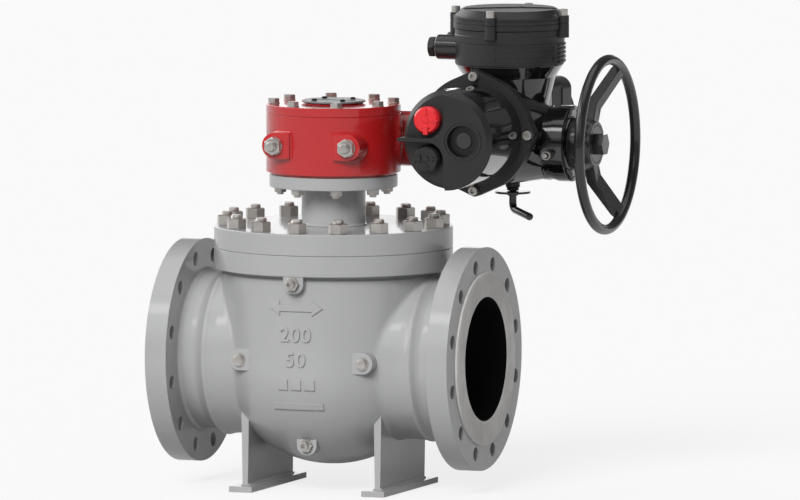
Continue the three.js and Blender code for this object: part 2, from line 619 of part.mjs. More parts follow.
function gearCase() {
  const front = CONTROL.backY + GAP;
  const { radius, ring, ringX, end, bore } = COLUMN;
  const shoulder = wrapped(
    onControlAxis(rod("y", 95, front, 36, 20)),
    onDriveAxis(rod("x", 60, 300, 362, 20)),
  );
  const earth = join(rod("y", 9, 34, 60, 8), prism("y", hexagon(12), 24, 35));
  const skin = join(
    controlRing(front, front + CONTROL_RING.thick),
    shoulder,
    onDriveAxis(rod("x", radius, ADAPTER.to, ringX, 20)),
    onDriveAxis(rod("x", ring, ringX - 1, end, 20)),
    onMotorAxis(rod("y", MOTOR.radius, 100, 151, 20)),
    onMotorAxis(prism("y", roundedSquare(MOTOR.radius, MOTOR.corner), 150, MOTOR.low)),
    onDrumAxis(turned("z", [[0, 400], [60, 400], [79, 478], [93, DRUM.low - GAP], [0, DRUM.low - GAP]], 20)),
    rod("z", 12, LEVER.discZ + 5, 320, 12).translate(LEVER.x, LEVER.y, 0),
    earth.translate(377, 0, 350),
  );
  return cut(
    skin,
    block(100, ADAPTER.to, front + CONTROL_RING.thick, 200, 250, 520),
    onDriveAxis(rod("x", bore, ADAPTER.to - 1, end + 1, 20)),
    onMotorAxis(rod("y", 26, 62, MOTOR.low + 1, 16)),
    onControlAxis(rod("y", 78, front - 1, 46, 20)),
    onDrumAxis(rod("z", 55, 470, DRUM.low + 1, 20)),
    rod("z", LEVER.rod + 0.8, 260, 340, 8).translate(LEVER.x, LEVER.y, 0),
  );
}

// Cup over the controls. The left half of its face is set back, apart from a ridge between the two
// round pockets that hold the selector knobs; the right half carries the sight glass.
function controlCover() {
  const { x, z, radius, faceRadius, bevel, faceY, stepY, backY } = CONTROL;
  const low = backY - CONTROL_RING.thick;
  const dome = turned("y", [
    [0, faceY], [faceRadius, faceY], [radius, faceY + bevel], [radius, backY], [0, backY],
  ]);
  const setBack = block(-100, 0, faceY - 1, stepY, -100, 100);
  const ridge = cut(
    block(-radius + 4, 1, faceY, stepY + 1, -POCKET.z, POCKET.z),
    ...[-1, 1].map((up) =>
      rod("y", POCKET.radius, faceY - 1, stepY, 20).translate(POCKET.x, 0, up * POCKET.z)),
    ...[-1, 1].map((up) => block(-100, POCKET.x, faceY - 1, stepY, ...between(up * POCKET.ridge, up * 60))),
  );
  const screws = regular(4, CONTROL_RING.earCircle).map(([sx, sz]) =>
    rod("y", 8, low - 10, low + 1, 8).translate(sx, 0, sz));
  const rim = tube("y", SIGHT.ring, SIGHT.ring - 3, faceY - 1.5, faceY + 1, 20).translate(SIGHT.x, 0, 0);
  const shell = join(
    cut(dome, setBack),
    ridge,
    rim,
    ...screws,
    controlRing(low, backY).translate(-x, 0, -z),
  );
  return onControlAxis(cut(
    shell,
    rod("y", radius - 9, -112, backY + 1, 20),
    rod("y", SIGHT.opening, faceY - 2, faceY + SIGHT.depth, 16).translate(SIGHT.x, 0, 0),
    rod("y", SIGHT.aperture, faceY, -111, 16).translate(SIGHT.x, 0, 0),
    ...[-1, 1].map((up) => rod("y", 5, stepY - 1, stepY + 12, 8).translate(KNOB.x, 0, up * KNOB.z)),
  ));
}

function sightGlass() {
  const back = CONTROL.faceY + SIGHT.depth - GAP;
  const pane = rod("y", SIGHT.opening - 0.5, back - 3, back, 16);
  const glass = join(pane, rod("y", SIGHT.lens, back - 7, back - 2, 16));
  return onControlAxis(glass.translate(SIGHT.x, 0, 0));
}

// Knob with a raised pointer; `pointer` is the direction it points in, from +x towards +z.
function selector(pointer) {
  const { faceY, radius } = KNOB;
  const seat = CONTROL.stepY - GAP;
  const arrow = block(3, radius - 1, faceY - 2, faceY + 1, -3.5, 3.5).rotateY(-pointer);
  return join(
    turned("y", [[0, faceY], [radius - 3, faceY], [radius, faceY + 4], [radius, seat], [4.4, seat],
      [4.4, CONTROL.stepY + 10], [0, CONTROL.stepY + 10]], 20),
    arrow,
  );
}

// Square body with rounded corners and a round end bell.
function motorHousing() {
  const { radius, corner, low, bodyEnd, high } = MOTOR;
  const body = prism("y", roundedSquare(radius, corner), low + GAP, bodyEnd);
  const bell = turned("y", [
    [0, bodyEnd - 1], [radius, bodyEnd - 1], [radius - 1, high - 24], [radius - 16, high - 6],
    [radius - 32, high], [0, high],
  ], 20);
  const bore = rod("y", 44, low - 1, high - 22, 20);
  return onMotorAxis(cut(join(body, bell), bore, rod("y", 9, high - 30, high - 10, 8)));
}

function drumEars(low, high) {
  const { circle, radius } = DRUM_EAR;
  return regular(4, circle).map(([x, y]) => rod("z", radius, low, high, 8).translate(x, y, 0));
}

function terminalHousing() {
  const { radius, low, rim, joint, y } = DRUM;
  const wall = turned("z", [
    [0, low], [radius, low], [radius, rim - 1], [radius + 2.4, rim], [radius + 2.4, joint], [0, joint],
  ]);
  const entries = [-1, 1].map((side) =>
    rod("x", CONDUIT.radius, CONDUIT.end - DRUM.x, -60, 16).translate(0, side * CONDUIT.spread, CONDUIT.z));
  const bores = [-1, 1].map((side) =>
    rod("x", CONDUIT.bore, CONDUIT.end - DRUM.x - 1, -50, 12).translate(0, side * CONDUIT.spread, CONDUIT.z));
  const shell = join(wall, ...entries, ...drumEars(DRUM_EAR.low, joint));
  return cut(shell, rod("z", 80, low + 7, joint + 1, 20), rod("z", 50, low - 1, low + 8, 16), ...bores)
    .translate(DRUM.x, y, 0);
}

function terminalCover() {
  const { radius, joint, shoulder, top } = DRUM;
  const low = joint + GAP;
  const lid = turned("z", [[0, low], [radius + 2.4, low], [radius + 2.4, shoulder], [radius, shoulder + 0.5],
    [81, top], [0, top]]);
  const screws = regular(4, DRUM_EAR.circle).map(([x, y]) =>
    rod("z", 8, DRUM_EAR.high - 1, DRUM_EAR.high + 11, 8).translate(x, y, 0));
  const shell = join(lid, ...drumEars(low, DRUM_EAR.high), ...screws);
  return onDrumAxis(cut(shell, rod("z", 74, low - 1, shoulder + 6, 20)));
}

function conduitPlug() {
  const end = CONDUIT.end - GAP;
  return join(
    rod("x", CONDUIT.bore - 0.6, end - 4, end + 22, 12),
    prism("x", hexagon(32.5, Math.PI / 2), end - 14, end - 3),
    rod("x", 17.5, end - 4, end, 16),
  ).translate(0, DRUM.y - CONDUIT.spread, CONDUIT.z);
}

add("gear_case", gearCase(), BLACK_PAINT);
add("control_cover", controlCover(), BLACK_PLASTIC);
add("sight_glass", sightGlass(), LENS);
const knobX = CONTROL.x + KNOB.x;
add("selector_red", selector(-Math.PI / 2), RED_PLASTIC).position.set(knobX, 0, CONTROL.z + KNOB.z);
add("selector_black", selector(Math.PI), BLACK_PLASTIC).position.set(knobX, 0, CONTROL.z - KNOB.z);
add("motor_housing", motorHousing(), BLACK_PAINT);
add("terminal_housing", terminalHousing(), BLACK_PLASTIC);
add("terminal_cover", terminalCover(), BLACK_PLASTIC);
add("conduit_plug", conduitPlug(), BLACK_PLASTIC);

// ---------------------------------------------------------------- actuator drive train
// Output column: a socket over the end of the worm shaft, a square for the clutch and a plain end
// that carries the handwheel and its nut.
function outputColumn() {
  const { low, high, half } = CLUTCH;
  const socket = WORM.journal + 0.5;
  const bare = turned("x", [[0, 152], [socket, 152], [socket, 128], [19, 128], [19, 160], [SHAFT_RADIUS, 160],
    [SHAFT_RADIUS, low - 12], [0, low - 12]], 16);
  const { noseX, thread: screw } = HANDWHEEL;
  return onDriveAxis(join(
    bare,
    block(low - 13, high + 2, -half, half, -half, half),
    rod("x", SHAFT_RADIUS, high + 1, noseX - 0.3, 16),
    rod("x", screw, noseX - 1, noseX + 10, 12),
  ));
}

// Wheel that the motor turns on the column, with a hub that reaches to the clutch.
function driveRing() {
  const { teeth, pitchRadius } = RING;
  const rim = toothOutline(teeth, 0, teeth - 1, [pitchRadius - 2.4, 2.8], [pitchRadius + 1.8, 1.6]);
  const wheel = prism("x", rim, MOTOR.x - 9, MOTOR.x + 9);
  const hub = rod("x", 20, MOTOR.x, CLUTCH.low - 10.6, 16);
  return onDriveAxis(cut(join(wheel, hub), rod("x", SHAFT_RADIUS + 0.5, 200, 320, 16)));
}

// Rotor, shaft and worm along Y. The thread stands in the gap of the ring that points straight up.
function motorRotor() {
  const { pitchRadius, journal } = MOTOR_WORM;
  const root = pitchRadius - 2.4;
  const crest = thread({
    root,
    tip: pitchRadius + 1.8,
    rootWidth: 2.8,
    tipWidth: 1.4,
    lead: (2 * Math.PI * RING.pitchRadius) / RING.teeth,
    length: 18,
    phase: Math.PI,
  });
  const core = turned("y", [
    [0, -30], [root, -30], [root, 40], [journal, 42], [journal, 90], [30, 90], [30, 186], [journal, 186],
    [journal, 222], [0, 222],
  ], 16);
  return onMotorAxis(join(core, crest).translate(0, DRIVE.axisY, 0));
}

function clutchDog() {
  const { low, high, radius, half } = CLUTCH;
  const hole = half + 0.4;
  const square = block(low - 1, high + 1, -hole, hole, -hole, hole);
  return onDriveAxis(cut(rod("x", radius, low, high, 20), square));
}

function handwheel() {
  const { x, radius, tube: section, hub, nose, noseX, quill, quillX } = HANDWHEEL;
  const bore = SHAFT_RADIUS + 0.5;
  const start = COLUMN.end + GAP;
  const centre = turned("x", [[bore, quillX], [quill, quillX], [quill, start], [hub, start], [hub, 426],
    [nose, noseX], [bore, noseX]], 20);
  const rim = new THREE.TorusGeometry(radius, section, 7, 36).rotateY(Math.PI / 2).translate(x, 0, 0);
  const arm = [[420, 30], [433, 30], [433, 72], [x + 4, 140], [x - 8, 144], [420, 78]];
  const spokes = [60, 180, 300].map((angle) => prism("z", arm, -15.5, 15.5).rotateX(angle * DEGREE));
  return onDriveAxis(join(centre, rim, ...spokes));
}

function handwheelNut() {
  const { noseX, thread: screw } = HANDWHEEL;
  const body = prism("x", hexagon(34), noseX + GAP, noseX + 16);
  return onDriveAxis(cut(body, rod("x", screw + 0.5, noseX, noseX + 11, 12)));
}

// Round bar bent under a sealing disc; it hangs out of the gear case on its own vertical axis.
function declutchLever() {
  const { rod: radius, disc, discZ, bendZ, reach } = LEVER;
  const arm = rod("z", radius, 0, new THREE.Vector3(...reach).length(), 8);
  const tilt = new THREE.Quaternion().setFromUnitVectors(
    new THREE.Vector3(0, 0, 1),
    new THREE.Vector3(...reach).normalize(),
  );
  return join(
    rod("z", radius, bendZ, 330, 8),
    rod("z", disc, discZ, discZ + 4, 20),
    new THREE.IcosahedronGeometry(radius * 1.03, 1).translate(0, 0, bendZ),
    arm.applyQuaternion(tilt).translate(0, 0, bendZ),
  ).translate(LEVER.x, LEVER.y, 0);
}

add("output_column", outputColumn(), STEEL);
add("drive_ring", driveRing(), BRONZE);
add("motor_rotor", motorRotor(), STEEL);
add("clutch_dog", clutchDog(), STEEL);
add("handwheel", handwheel(), BLACK_PAINT);
add("handwheel_nut", handwheelNut(), BLACK_PLASTIC);
add("declutch_lever", declutchLever(), BLACK_PAINT);

export default model;
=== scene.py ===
"""Looks of the expanding plug valve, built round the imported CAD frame.

Lengths here are millimetres in the valve's own frame: x along the pipe, y to the back, z up, zero where
the stem axis crosses the bore axis. to_row() turns them into the row frame's metres.
"""

import json
import math

import bmesh
import bpy
import numpy as np
from mathutils import Matrix, Vector


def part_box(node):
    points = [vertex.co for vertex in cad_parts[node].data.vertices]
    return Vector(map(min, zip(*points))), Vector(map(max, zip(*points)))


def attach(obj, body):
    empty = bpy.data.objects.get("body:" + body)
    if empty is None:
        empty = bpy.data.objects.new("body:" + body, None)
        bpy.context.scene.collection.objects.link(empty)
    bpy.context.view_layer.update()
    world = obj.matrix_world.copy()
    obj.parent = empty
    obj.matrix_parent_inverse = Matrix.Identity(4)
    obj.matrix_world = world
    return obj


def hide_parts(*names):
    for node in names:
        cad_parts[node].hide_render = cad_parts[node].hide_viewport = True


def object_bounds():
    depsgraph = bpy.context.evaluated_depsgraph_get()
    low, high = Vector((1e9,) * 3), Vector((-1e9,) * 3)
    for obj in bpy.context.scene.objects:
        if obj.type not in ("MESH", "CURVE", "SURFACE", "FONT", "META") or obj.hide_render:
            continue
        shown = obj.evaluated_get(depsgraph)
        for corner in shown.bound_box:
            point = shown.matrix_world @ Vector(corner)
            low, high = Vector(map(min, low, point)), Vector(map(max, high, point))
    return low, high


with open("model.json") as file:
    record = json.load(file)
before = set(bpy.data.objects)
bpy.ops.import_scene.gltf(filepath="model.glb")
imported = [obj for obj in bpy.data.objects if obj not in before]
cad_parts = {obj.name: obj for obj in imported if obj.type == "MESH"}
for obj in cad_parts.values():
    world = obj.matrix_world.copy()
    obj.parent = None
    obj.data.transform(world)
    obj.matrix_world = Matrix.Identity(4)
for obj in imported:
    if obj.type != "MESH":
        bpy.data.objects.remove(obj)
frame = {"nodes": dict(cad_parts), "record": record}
cad_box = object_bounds()

FLANGE_RADIUS = 190.5
BORE_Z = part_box("body_casting")[0].z + FLANGE_RADIUS / 1000  # the bore axis above the row origin


def to_row(points):
    return np.asarray(points, float) / 1000 + np.array([0, 0, BORE_Z])


# ------------------------------------------------------------------ materials
def shader_node(tree, kind, values=(), links=(), **settings):
    """Adds a shader node. `values` sets inputs by name, `links` joins sockets to inputs by name."""
    node = tree.nodes.new("ShaderNode" + kind)
    for key, value in settings.items():
        setattr(node, key, value)
    for key, value in dict(values).items():
        node.inputs[key].default_value = value
    for key, socket in dict(links).items():
        tree.links.new(socket, node.inputs[key])
    return node


def principled(name):
    """A new material with its node tree and shader, and coordinates fixed to the object."""
    material = bpy.data.materials.new(name)
    material.use_nodes = True
    tree = material.node_tree
    where = shader_node(tree, "TexCoord").outputs["Object"]
    return material, tree, tree.nodes["Principled BSDF"], where


def noise(tree, where, scale, detail, roughness=0.55):
    values = {"Scale": scale, "Detail": detail, "Roughness": roughness}
    return shader_node(tree, "TexNoise", values, {"Vector": where}).outputs["Fac"]


def remap(tree, value, low, high, kind="LINEAR", low_in=0.3, high_in=0.7):
    """Maps the range low_in to high_in, by default the middle of a noise, to low to high."""
    values = {"From Min": low_in, "From Max": high_in, "To Min": low, "To Max": high}
    return shader_node(tree, "MapRange", values, {"Value": value}, interpolation_type=kind).outputs["Result"]


def dress(tree, shader, share, dark, light, fine, roughness, swing, relief):
    """Drives a shader's colour by one noise, and its roughness and normal by a finer one."""
    mix = shader_node(tree, "Mix", {}, {"Factor": share}, data_type="RGBA")
    mix.inputs["A"].default_value = (*dark, 1)
    mix.inputs["B"].default_value = (*light, 1)
    tree.links.new(mix.outputs["Result"], shader.inputs["Base Color"])
    gloss = remap(tree, fine, roughness * (1 - swing), roughness * (1 + swing))
    tree.links.new(gloss, shader.inputs["Roughness"])
    bump = shader_node(tree, "Bump", {"Distance": relief, "Strength": 1.0}, {"Height": fine})
    tree.links.new(bump.outputs["Normal"], shader.inputs["Normal"])


def coated(name, colour, spread, roughness, grain, relief, coat=0.0, metallic=0.0):
    """Painted, plated or moulded surface: slow colour drift, uneven gloss and a fine bump."""
    material, tree, shader, where = principled(name)
    share = remap(tree, noise(tree, where, 9, 3), 0, 1)
    dark = [c * (1 - spread) for c in colour]
    light = [min(1, c * (1 + spread)) for c in colour]
    dress(tree, shader, share, dark, light, noise(tree, where, grain, 5, 0.6), roughness, 0.15, relief)
    shader.inputs["Metallic"].default_value = metallic
    shader.inputs["Coat Weight"].default_value = coat
    shader.inputs["Coat Roughness"].default_value = 0.06
    return material


def machined(name, colour, roughness, rings, metallic=0.85):
    """Turned metal: fine tool marks, slightly smeared, with a faint stain."""
    material, tree, shader, where = principled(name)
    share = remap(tree, noise(tree, where, 25, 4), 0, 1)
    dark = [c * 0.82 for c in colour]
    dress(tree, shader, share, dark, colour, noise(tree, where, rings, 6, 0.75), roughness, 0.3, 0.00006)
    shader.inputs["Metallic"].default_value = metallic
    return material


GREY = coated("grey_paint", (0.40, 0.402, 0.404), 0.03, 0.34, 260, 0.00007, coat=0.45)
FACE = machined("flange_face", (0.86, 0.845, 0.825), 0.5, 420, 0.0)
# Near-black bore liner with its reflection turned down: painted shade standing in for the dark inside of the
# bore.
BORE_SHADE = coated("bore_painted_shade", (0.004, 0.004, 0.004), 0.2, 0.55, 180, 0.00005)
BORE_SHADE.node_tree.nodes["Principled BSDF"].inputs["Specular IOR Level"].default_value = 0.12
STEEL = machined("bolt_steel", (0.62, 0.595, 0.565), 0.34, 700)
RED = coated("red_gloss", (0.47, 0.012, 0.014), 0.03, 0.26, 900, 0.000006, coat=0.6)
BLACK_GLOSS = coated("black_gloss", (0.0055, 0.0055, 0.006), 0.15, 0.10, 120, 0.00002, coat=1.0)
BLACK_SATIN = coated("black_satin", (0.017, 0.017, 0.0175), 0.10, 0.42, 900, 0.00006)
BLACK_WHEEL = coated("black_wheel", (0.013, 0.013, 0.0135), 0.12, 0.30, 500, 0.00004, coat=0.5)
# Near black, used on the indicator screws and the motor neck; on the sight-glass window it is painted shade
# in the recess.
BLACK_DEEP_AND_SHADE = coated("black_and_recess_shade", (0.007, 0.007, 0.0075), 0.1, 0.5, 500, 0.00004)
RED_PLASTIC = coated("red_plastic", (0.72, 0.022, 0.030), 0.05, 0.34, 600, 0.00004, coat=0.2)
DISC = coated("indicator_grey", (0.20, 0.205, 0.21), 0.08, 0.34, 500, 0.00004, metallic=0.3)
BRONZE = machined("bronze", (0.50, 0.30, 0.10), 0.38, 500)
RUBBER = coated("rubber", (0.012, 0.012, 0.012), 0.1, 0.7, 900, 0.00008)
CAST = coated("bare_casting", (0.16, 0.16, 0.16), 0.1, 0.5, 300, 0.00012, metallic=0.6)
LENS = coated("smoked_lens", (0.034, 0.034, 0.036), 0.05, 0.38, 500, 0.00002)

FINISH = {
    "grey_paint": GREY, "cast_steel": CAST, "steel": STEEL, "red_paint": RED, "black_paint": BLACK_SATIN,
    "black_plastic": BLACK_SATIN, "red_plastic": RED_PLASTIC, "bronze": BRONZE, "rubber": RUBBER,
    "lens": LENS,
}
OVERRIDE = {"plug": CAST, "packing_set": RUBBER, "bonnet_gasket": RUBBER}
SLOT_OF = {entry["node"]: entry["material_slot"] for entry in frame["record"]["subparts"]}


# ------------------------------------------------------------------ shapes
# A shape is (points, faces): an array of points in millimetres and a list of tuples of indices.
def merged(*shapes):
    points, faces, count = [], [], 0
    for shape_points, shape_faces in shapes:
        points.append(np.asarray(shape_points, float))
        faces += [tuple(i + count for i in face) for face in shape_faces]
        count += len(shape_points)
    return np.concatenate(points), faces


def moved(shape, offset):
    return shape[0] + np.array(offset, float), shape[1]


def spun(shape, axis, degrees):
    turn = np.array(Matrix.Rotation(math.radians(degrees), 3, axis.upper()))
    return shape[0] @ turn.T, shape[1]


def laid(shape, axis):
    """Turns a shape built up the z axis so that it runs along z, x, y or -y."""
    turns = {"x": ("Y", 90), "y": ("X", -90), "-y": ("X", 90)}
    return spun(shape, *turns[axis]) if axis in turns else shape


def circle(count, radius, first=0.0):
    """Evenly spaced points on a circle, from `first` degrees."""
    angles = math.radians(first) + np.arange(count) * 2 * math.pi / count
    return radius * np.stack([np.cos(angles), np.sin(angles)], 1)


def raised(flat, height):
    return np.c_[flat, np.full(len(flat), height, float)]


def skinned(rings, closed=False):
    """Joins rings of equally many points, in a closed loop or with a cap at each end."""
    count = len(rings[0])
    total = count * len(rings)
    faces = []
    for below in range(0, total if closed else total - count, count):
        above = (below + count) % total
        for i in range(count):
            j = (i + 1) % count
            faces.append((below + i, below + j, above + j, above + i))
    if not closed:
        faces += [tuple(reversed(range(count))), tuple(range(total - count, total))]
    return np.concatenate(rings), faces


def softened(profile, closed, steps):
    """Rounds each corner of a profile that carries a third number, its fillet radius."""
    out = []
    count = len(profile)
    for i, corner in enumerate(profile):
        here = np.array(corner[:2], float)
        fillet = corner[2] if len(corner) > 2 else 0
        if not fillet or (not closed and i in (0, count - 1)):
            out.append(here)
            continue
        before = np.array(profile[i - 1][:2], float) - here
        after = np.array(profile[(i + 1) % count][:2], float) - here
        a, b = before / np.linalg.norm(before), after / np.linalg.norm(after)
        half = math.acos(np.clip(a @ b, -1, 1)) / 2
        back = min(fillet / math.tan(half), 0.49 * np.linalg.norm(before), 0.49 * np.linalg.norm(after))
        start, end = here + a * back, here + b * back
        for t in np.linspace(0, 1, steps + 1):
            out.append((1 - t) ** 2 * start + 2 * t * (1 - t) * here + t * t * end)
    return out


def lathe(profile, axis="z", at=(0, 0, 0), steps=96, fine=4, arc=None):
    """Turns a profile of (radius, height[, fillet]) about an axis. A profile that starts on the axis ends
    on it; any other profile closes on itself. `arc` limits the turn to (from, to) degrees, with end caps."""
    on_axis = profile[0][0] == 0
    full = arc is None
    angles = np.radians(np.linspace(*(arc or (0, 360)), steps + 1))
    if full:
        angles = angles[:-1]
    columns = len(angles)
    points, rows = [], []
    for r, h in softened(profile, not on_axis, fine):
        if r < 1e-9:
            rows.append([len(points)] * columns)
            points.append((0, 0, h))
        else:
            rows.append(list(range(len(points), len(points) + columns)))
            points += [(r * math.cos(a), r * math.sin(a), h) for a in angles]
    faces = []
    for below, above in list(zip(rows, rows[1:])) + ([] if on_axis else [(rows[-1], rows[0])]):
        for i in range(columns if full else columns - 1):
            j = (i + 1) % columns
            face = [below[i], below[j], above[j], above[i]]
            face = [v for k, v in enumerate(face) if v != face[k - 1]]
            if len(face) > 2:
                faces.append(tuple(face))
    if not full:
        faces.append(tuple(row[0] for row in rows))
        faces.append(tuple(row[-1] for row in reversed(rows)))
    return moved(laid((np.array(points, float), faces), axis), at)


def cylinder(radius, low, high, axis="z", at=(0, 0, 0), steps=64, edge=0.0):
    return lathe([(0, low), (radius, low, edge), (radius, high, edge), (0, high)], axis, at, steps)


def prism(outline, low, high):
    """Extrudes an outline of (x, y) points up the z axis. The heights may differ from point to point."""
    return skinned([raised(outline, low), raised(outline, high)])


def box(x0, x1, y0, y1):
    return np.array([(x0, y0), (x1, y0), (x1, y1), (x0, y1)], float)


def mesh_of(name, shape):
    mesh = bpy.data.meshes.new(name)
    points, faces = shape
    mesh.from_pydata([tuple(p) for p in points], [], faces)
    work = opened(mesh)
    bmesh.ops.recalc_face_normals(work, faces=work.faces)
    work.to_mesh(mesh)
    work.free()
    return mesh


def opened(mesh):
    work = bmesh.new()
    work.from_mesh(mesh)
    return work


def taken(work):
    """The shape in a bmesh, which is used up."""
    work.verts.index_update()
    shape = np.array([v.co for v in work.verts]), [tuple(v.index for v in f.verts) for f in work.faces]
    work.free()
    return shape


def placed(name, data):
    """Puts mesh, curve, light or camera data into the scene as an object."""
    thing = bpy.data.objects.new(name, data)
    bpy.context.scene.collection.objects.link(thing)
    return thing


def evaluated(thing):
    """The object's mesh with its curve filled and its modifiers applied."""
    bpy.context.view_layer.update()
    return thing.evaluated_get(bpy.context.evaluated_depsgraph_get()).to_mesh()


def filled(curve, low, high, edge, rounds):
    """Gives a flat curve its thickness and rounded edges, and reads the shape."""
    curve.extrude = (high - low) / 2 - edge
    curve.bevel_depth = edge
    curve.bevel_resolution = rounds
    made = placed("curve", curve)
    work = opened(evaluated(made))
    bmesh.ops.remove_doubles(work, verts=work.verts, dist=1e-3)
    shape = taken(work)
    bpy.data.objects.remove(made)
    bpy.data.curves.remove(curve)
    return moved(shape, (0, 0, (low + high) / 2))


def plate(outer, holes, low, high, edge=1.0):
    """Flat plate with rounded edges and any number of holes. Loops are (x, y) points. The rounding stands
    `edge` outside the outer loop and inside the holes."""
    curve = bpy.data.curves.new("plate", "CURVE")
    curve.dimensions = "2D"
    curve.fill_mode = "BOTH"
    for loop in [outer, *holes]:
        spline = curve.splines.new("POLY")
        spline.points.add(len(loop) - 1)
        spline.points.foreach_set("co", np.c_[loop, np.zeros(len(loop)), np.ones(len(loop))].ravel())
        spline.use_cyclic_u = True
    return filled(curve, low, high, edge, 2)


def figures(text, height, low, high):
    """Raised figures, centred, as a flat shape."""
    curve = bpy.data.curves.new("figures", "FONT")
    curve.body = text
    curve.size = height / 0.7
    curve.space_character = 1.12
    curve.align_x = "CENTER"
    points, faces = filled(curve, low, high, 0.5, 1)
    middle = (points[:, 1].min() + points[:, 1].max()) / 2
    return moved((points, faces), (0, -middle, 0))


def hull(*loops):
    """Convex outline round several sets of (x, y) points, anticlockwise."""
    points = sorted(map(tuple, np.concatenate(loops)))

    def chain(sequence):
        out = []
        for p in sequence:
            while len(out) > 1:
                (ax, ay), (bx, by) = out[-2], out[-1]
                if (bx - ax) * (p[1] - ay) - (by - ay) * (p[0] - ax) > 1e-9:
                    break
                out.pop()
            out.append(p)
        return out[:-1]

    return np.array(chain(points) + chain(points[::-1]))


def tab(centre, radius, far, away, width, steps=64):
    """Outline of a disc with a square side, which lies `far` from the centre in the direction `away`."""
    along = np.array(away, float)
    across = np.array([-along[1], along[0]])
    corners = [centre + along * far + across * width, centre + along * far - across * width]
    return hull(circle(steps, radius) + centre, np.array(corners))


def wrapped(*shapes):
    """Convex body round several shapes."""
    work = bmesh.new()
    for points, _ in shapes:
        for p in points:
            work.verts.new(p)
    result = bmesh.ops.convex_hull(work, input=work.verts)
    loose = [e for e in result["geom_interior"] + result["geom_unused"] if isinstance(e, bmesh.types.BMVert)]
    bmesh.ops.delete(work, geom=list(set(loose)), context="VERTS")
    bmesh.ops.dissolve_limit(work, angle_limit=math.radians(0.6), verts=work.verts, edges=work.edges)
    return taken(work)


def boolean(shape, *cutters):
    """Cuts closed shapes exactly out of a closed shape, one after the other."""
    for cutter in cutters:
        base = placed("base", mesh_of("base", shape))
        tool = placed("tool", mesh_of("tool", cutter))
        modifier = base.modifiers.new("cut", "BOOLEAN")
        modifier.operation = "DIFFERENCE"
        modifier.solver = "EXACT"
        modifier.object = tool
        mesh = evaluated(base)
        shape = np.array([v.co for v in mesh.vertices]), [tuple(p.vertices) for p in mesh.polygons]
        bpy.data.objects.remove(base)
        bpy.data.objects.remove(tool)
    return shape


# ------------------------------------------------------------------ fasteners
def ring(radius, height, angles):
    """Points round the z axis. The radius and the height may vary with the angle."""
    return np.stack([radius * np.cos(angles), radius * np.sin(angles), height + 0 * angles], 1)


def hexagon_radius(across_flats, angles):
    folded = (angles + math.pi / 6) % (math.pi / 3) - math.pi / 6
    return across_flats / 2 / np.cos(folded)


def hexagon(across_flats, low, high, chamfer_low=False, chamfer_high=True, hole=0.0, phase=0.0, steps=60):
    """Hexagonal head or nut up the z axis with its corners turned off at 30 degrees."""
    angles = np.arange(steps) * 2 * math.pi / steps
    outer = hexagon_radius(across_flats, angles)
    inner = across_flats / 2 * 0.96
    drop = (outer - inner) * math.tan(math.radians(30))
    hub = max(hole, 0.5)
    around = angles + phase
    rings = [ring(hub, low, around), ring(inner, low, around), ring(outer, low + drop * chamfer_low, around),
             ring(outer, high - drop * chamfer_high, around), ring(inner, high, around)]
    if hole:
        rings += [ring(hole + 0.6, high, around), ring(hole, high - 0.6, around)]
    else:
        rings.append(ring(hub, high, around))
    return skinned(rings, closed=bool(hole))


def threaded(radius, low, high, pitch, depth):
    """Stud end up the z axis: shallow rings for the thread and a rounded tip."""
    count = max(1, int((high - low - 2) / pitch))
    profile = [(0, low)]
    for z in low + np.arange(count) * pitch:
        profile += [(radius - depth, z), (radius, z + pitch / 2)]
    profile += [(radius - depth, low + count * pitch), (radius - 0.6, high - 1.6), (radius - 2.4, high),
                (0, high)]
    return lathe(profile, steps=32, fine=1)


def cap_screw(radius, low, high, socket, steps=40):
    """Cylinder head with a hexagon socket, up the z axis."""
    angles = np.arange(steps) * 2 * math.pi / steps
    key = hexagon_radius(socket, angles)
    deep = high - (high - low) * 0.55
    return skinned([ring(r, h, angles) for r, h in (
        (radius, low), (radius, high - 0.8), (radius - 0.25, high - 0.25), (radius - 0.8, high),
        (key + 0.3, high), (key, high - 0.3), (key, deep))])


def at_each(shape, places):
    """The shape at each of several (x, y) places."""
    return merged(*[moved(shape, (*place, 0)) for place in places])


def sweep(path, radius, steps=32):
    """Round bar along a path of 3-D points, without twist, its ends rounded off."""
    last = len(path) - 1
    tangents = [(path[min(i + 1, last)] - path[max(i - 1, 0)]).normalized() for i in range(last + 1)]
    side = tangents[0].orthogonal().normalized()
    sections = []
    for p, t in zip(path, tangents):
        side = (side - t * side.dot(t)).normalized()
        sections.append((p, side.copy(), t.cross(side), radius))
    tips = [math.radians(d) for d in (30, 60, 85)]

    def tip(index, sign):
        p, a, b, r = sections[index]
        return [(p + tangents[index] * sign * r * 0.5 * math.sin(k), a, b, r * math.cos(k)) for k in tips]

    turns = np.arange(steps) * 2 * math.pi / steps
    rings = [[tuple(p + (a * math.cos(k) + b * math.sin(k)) * r) for k in turns]
             for p, a, b, r in tip(0, -1)[::-1] + sections + tip(-1, 1)]
    return skinned([np.array(points) for points in rings])


def torus(radius, section, x, steps=192, sides=32):
    """Round rim about the x axis."""
    turns = np.arange(sides) * 2 * math.pi / sides
    rings = []
    for a in np.arange(steps) * 2 * math.pi / steps:
        r = radius + section * np.cos(turns)
        rings.append(np.stack([x + section * np.sin(turns), r * math.cos(a), r * math.sin(a)], 1))
    return skinned(rings, closed=True)


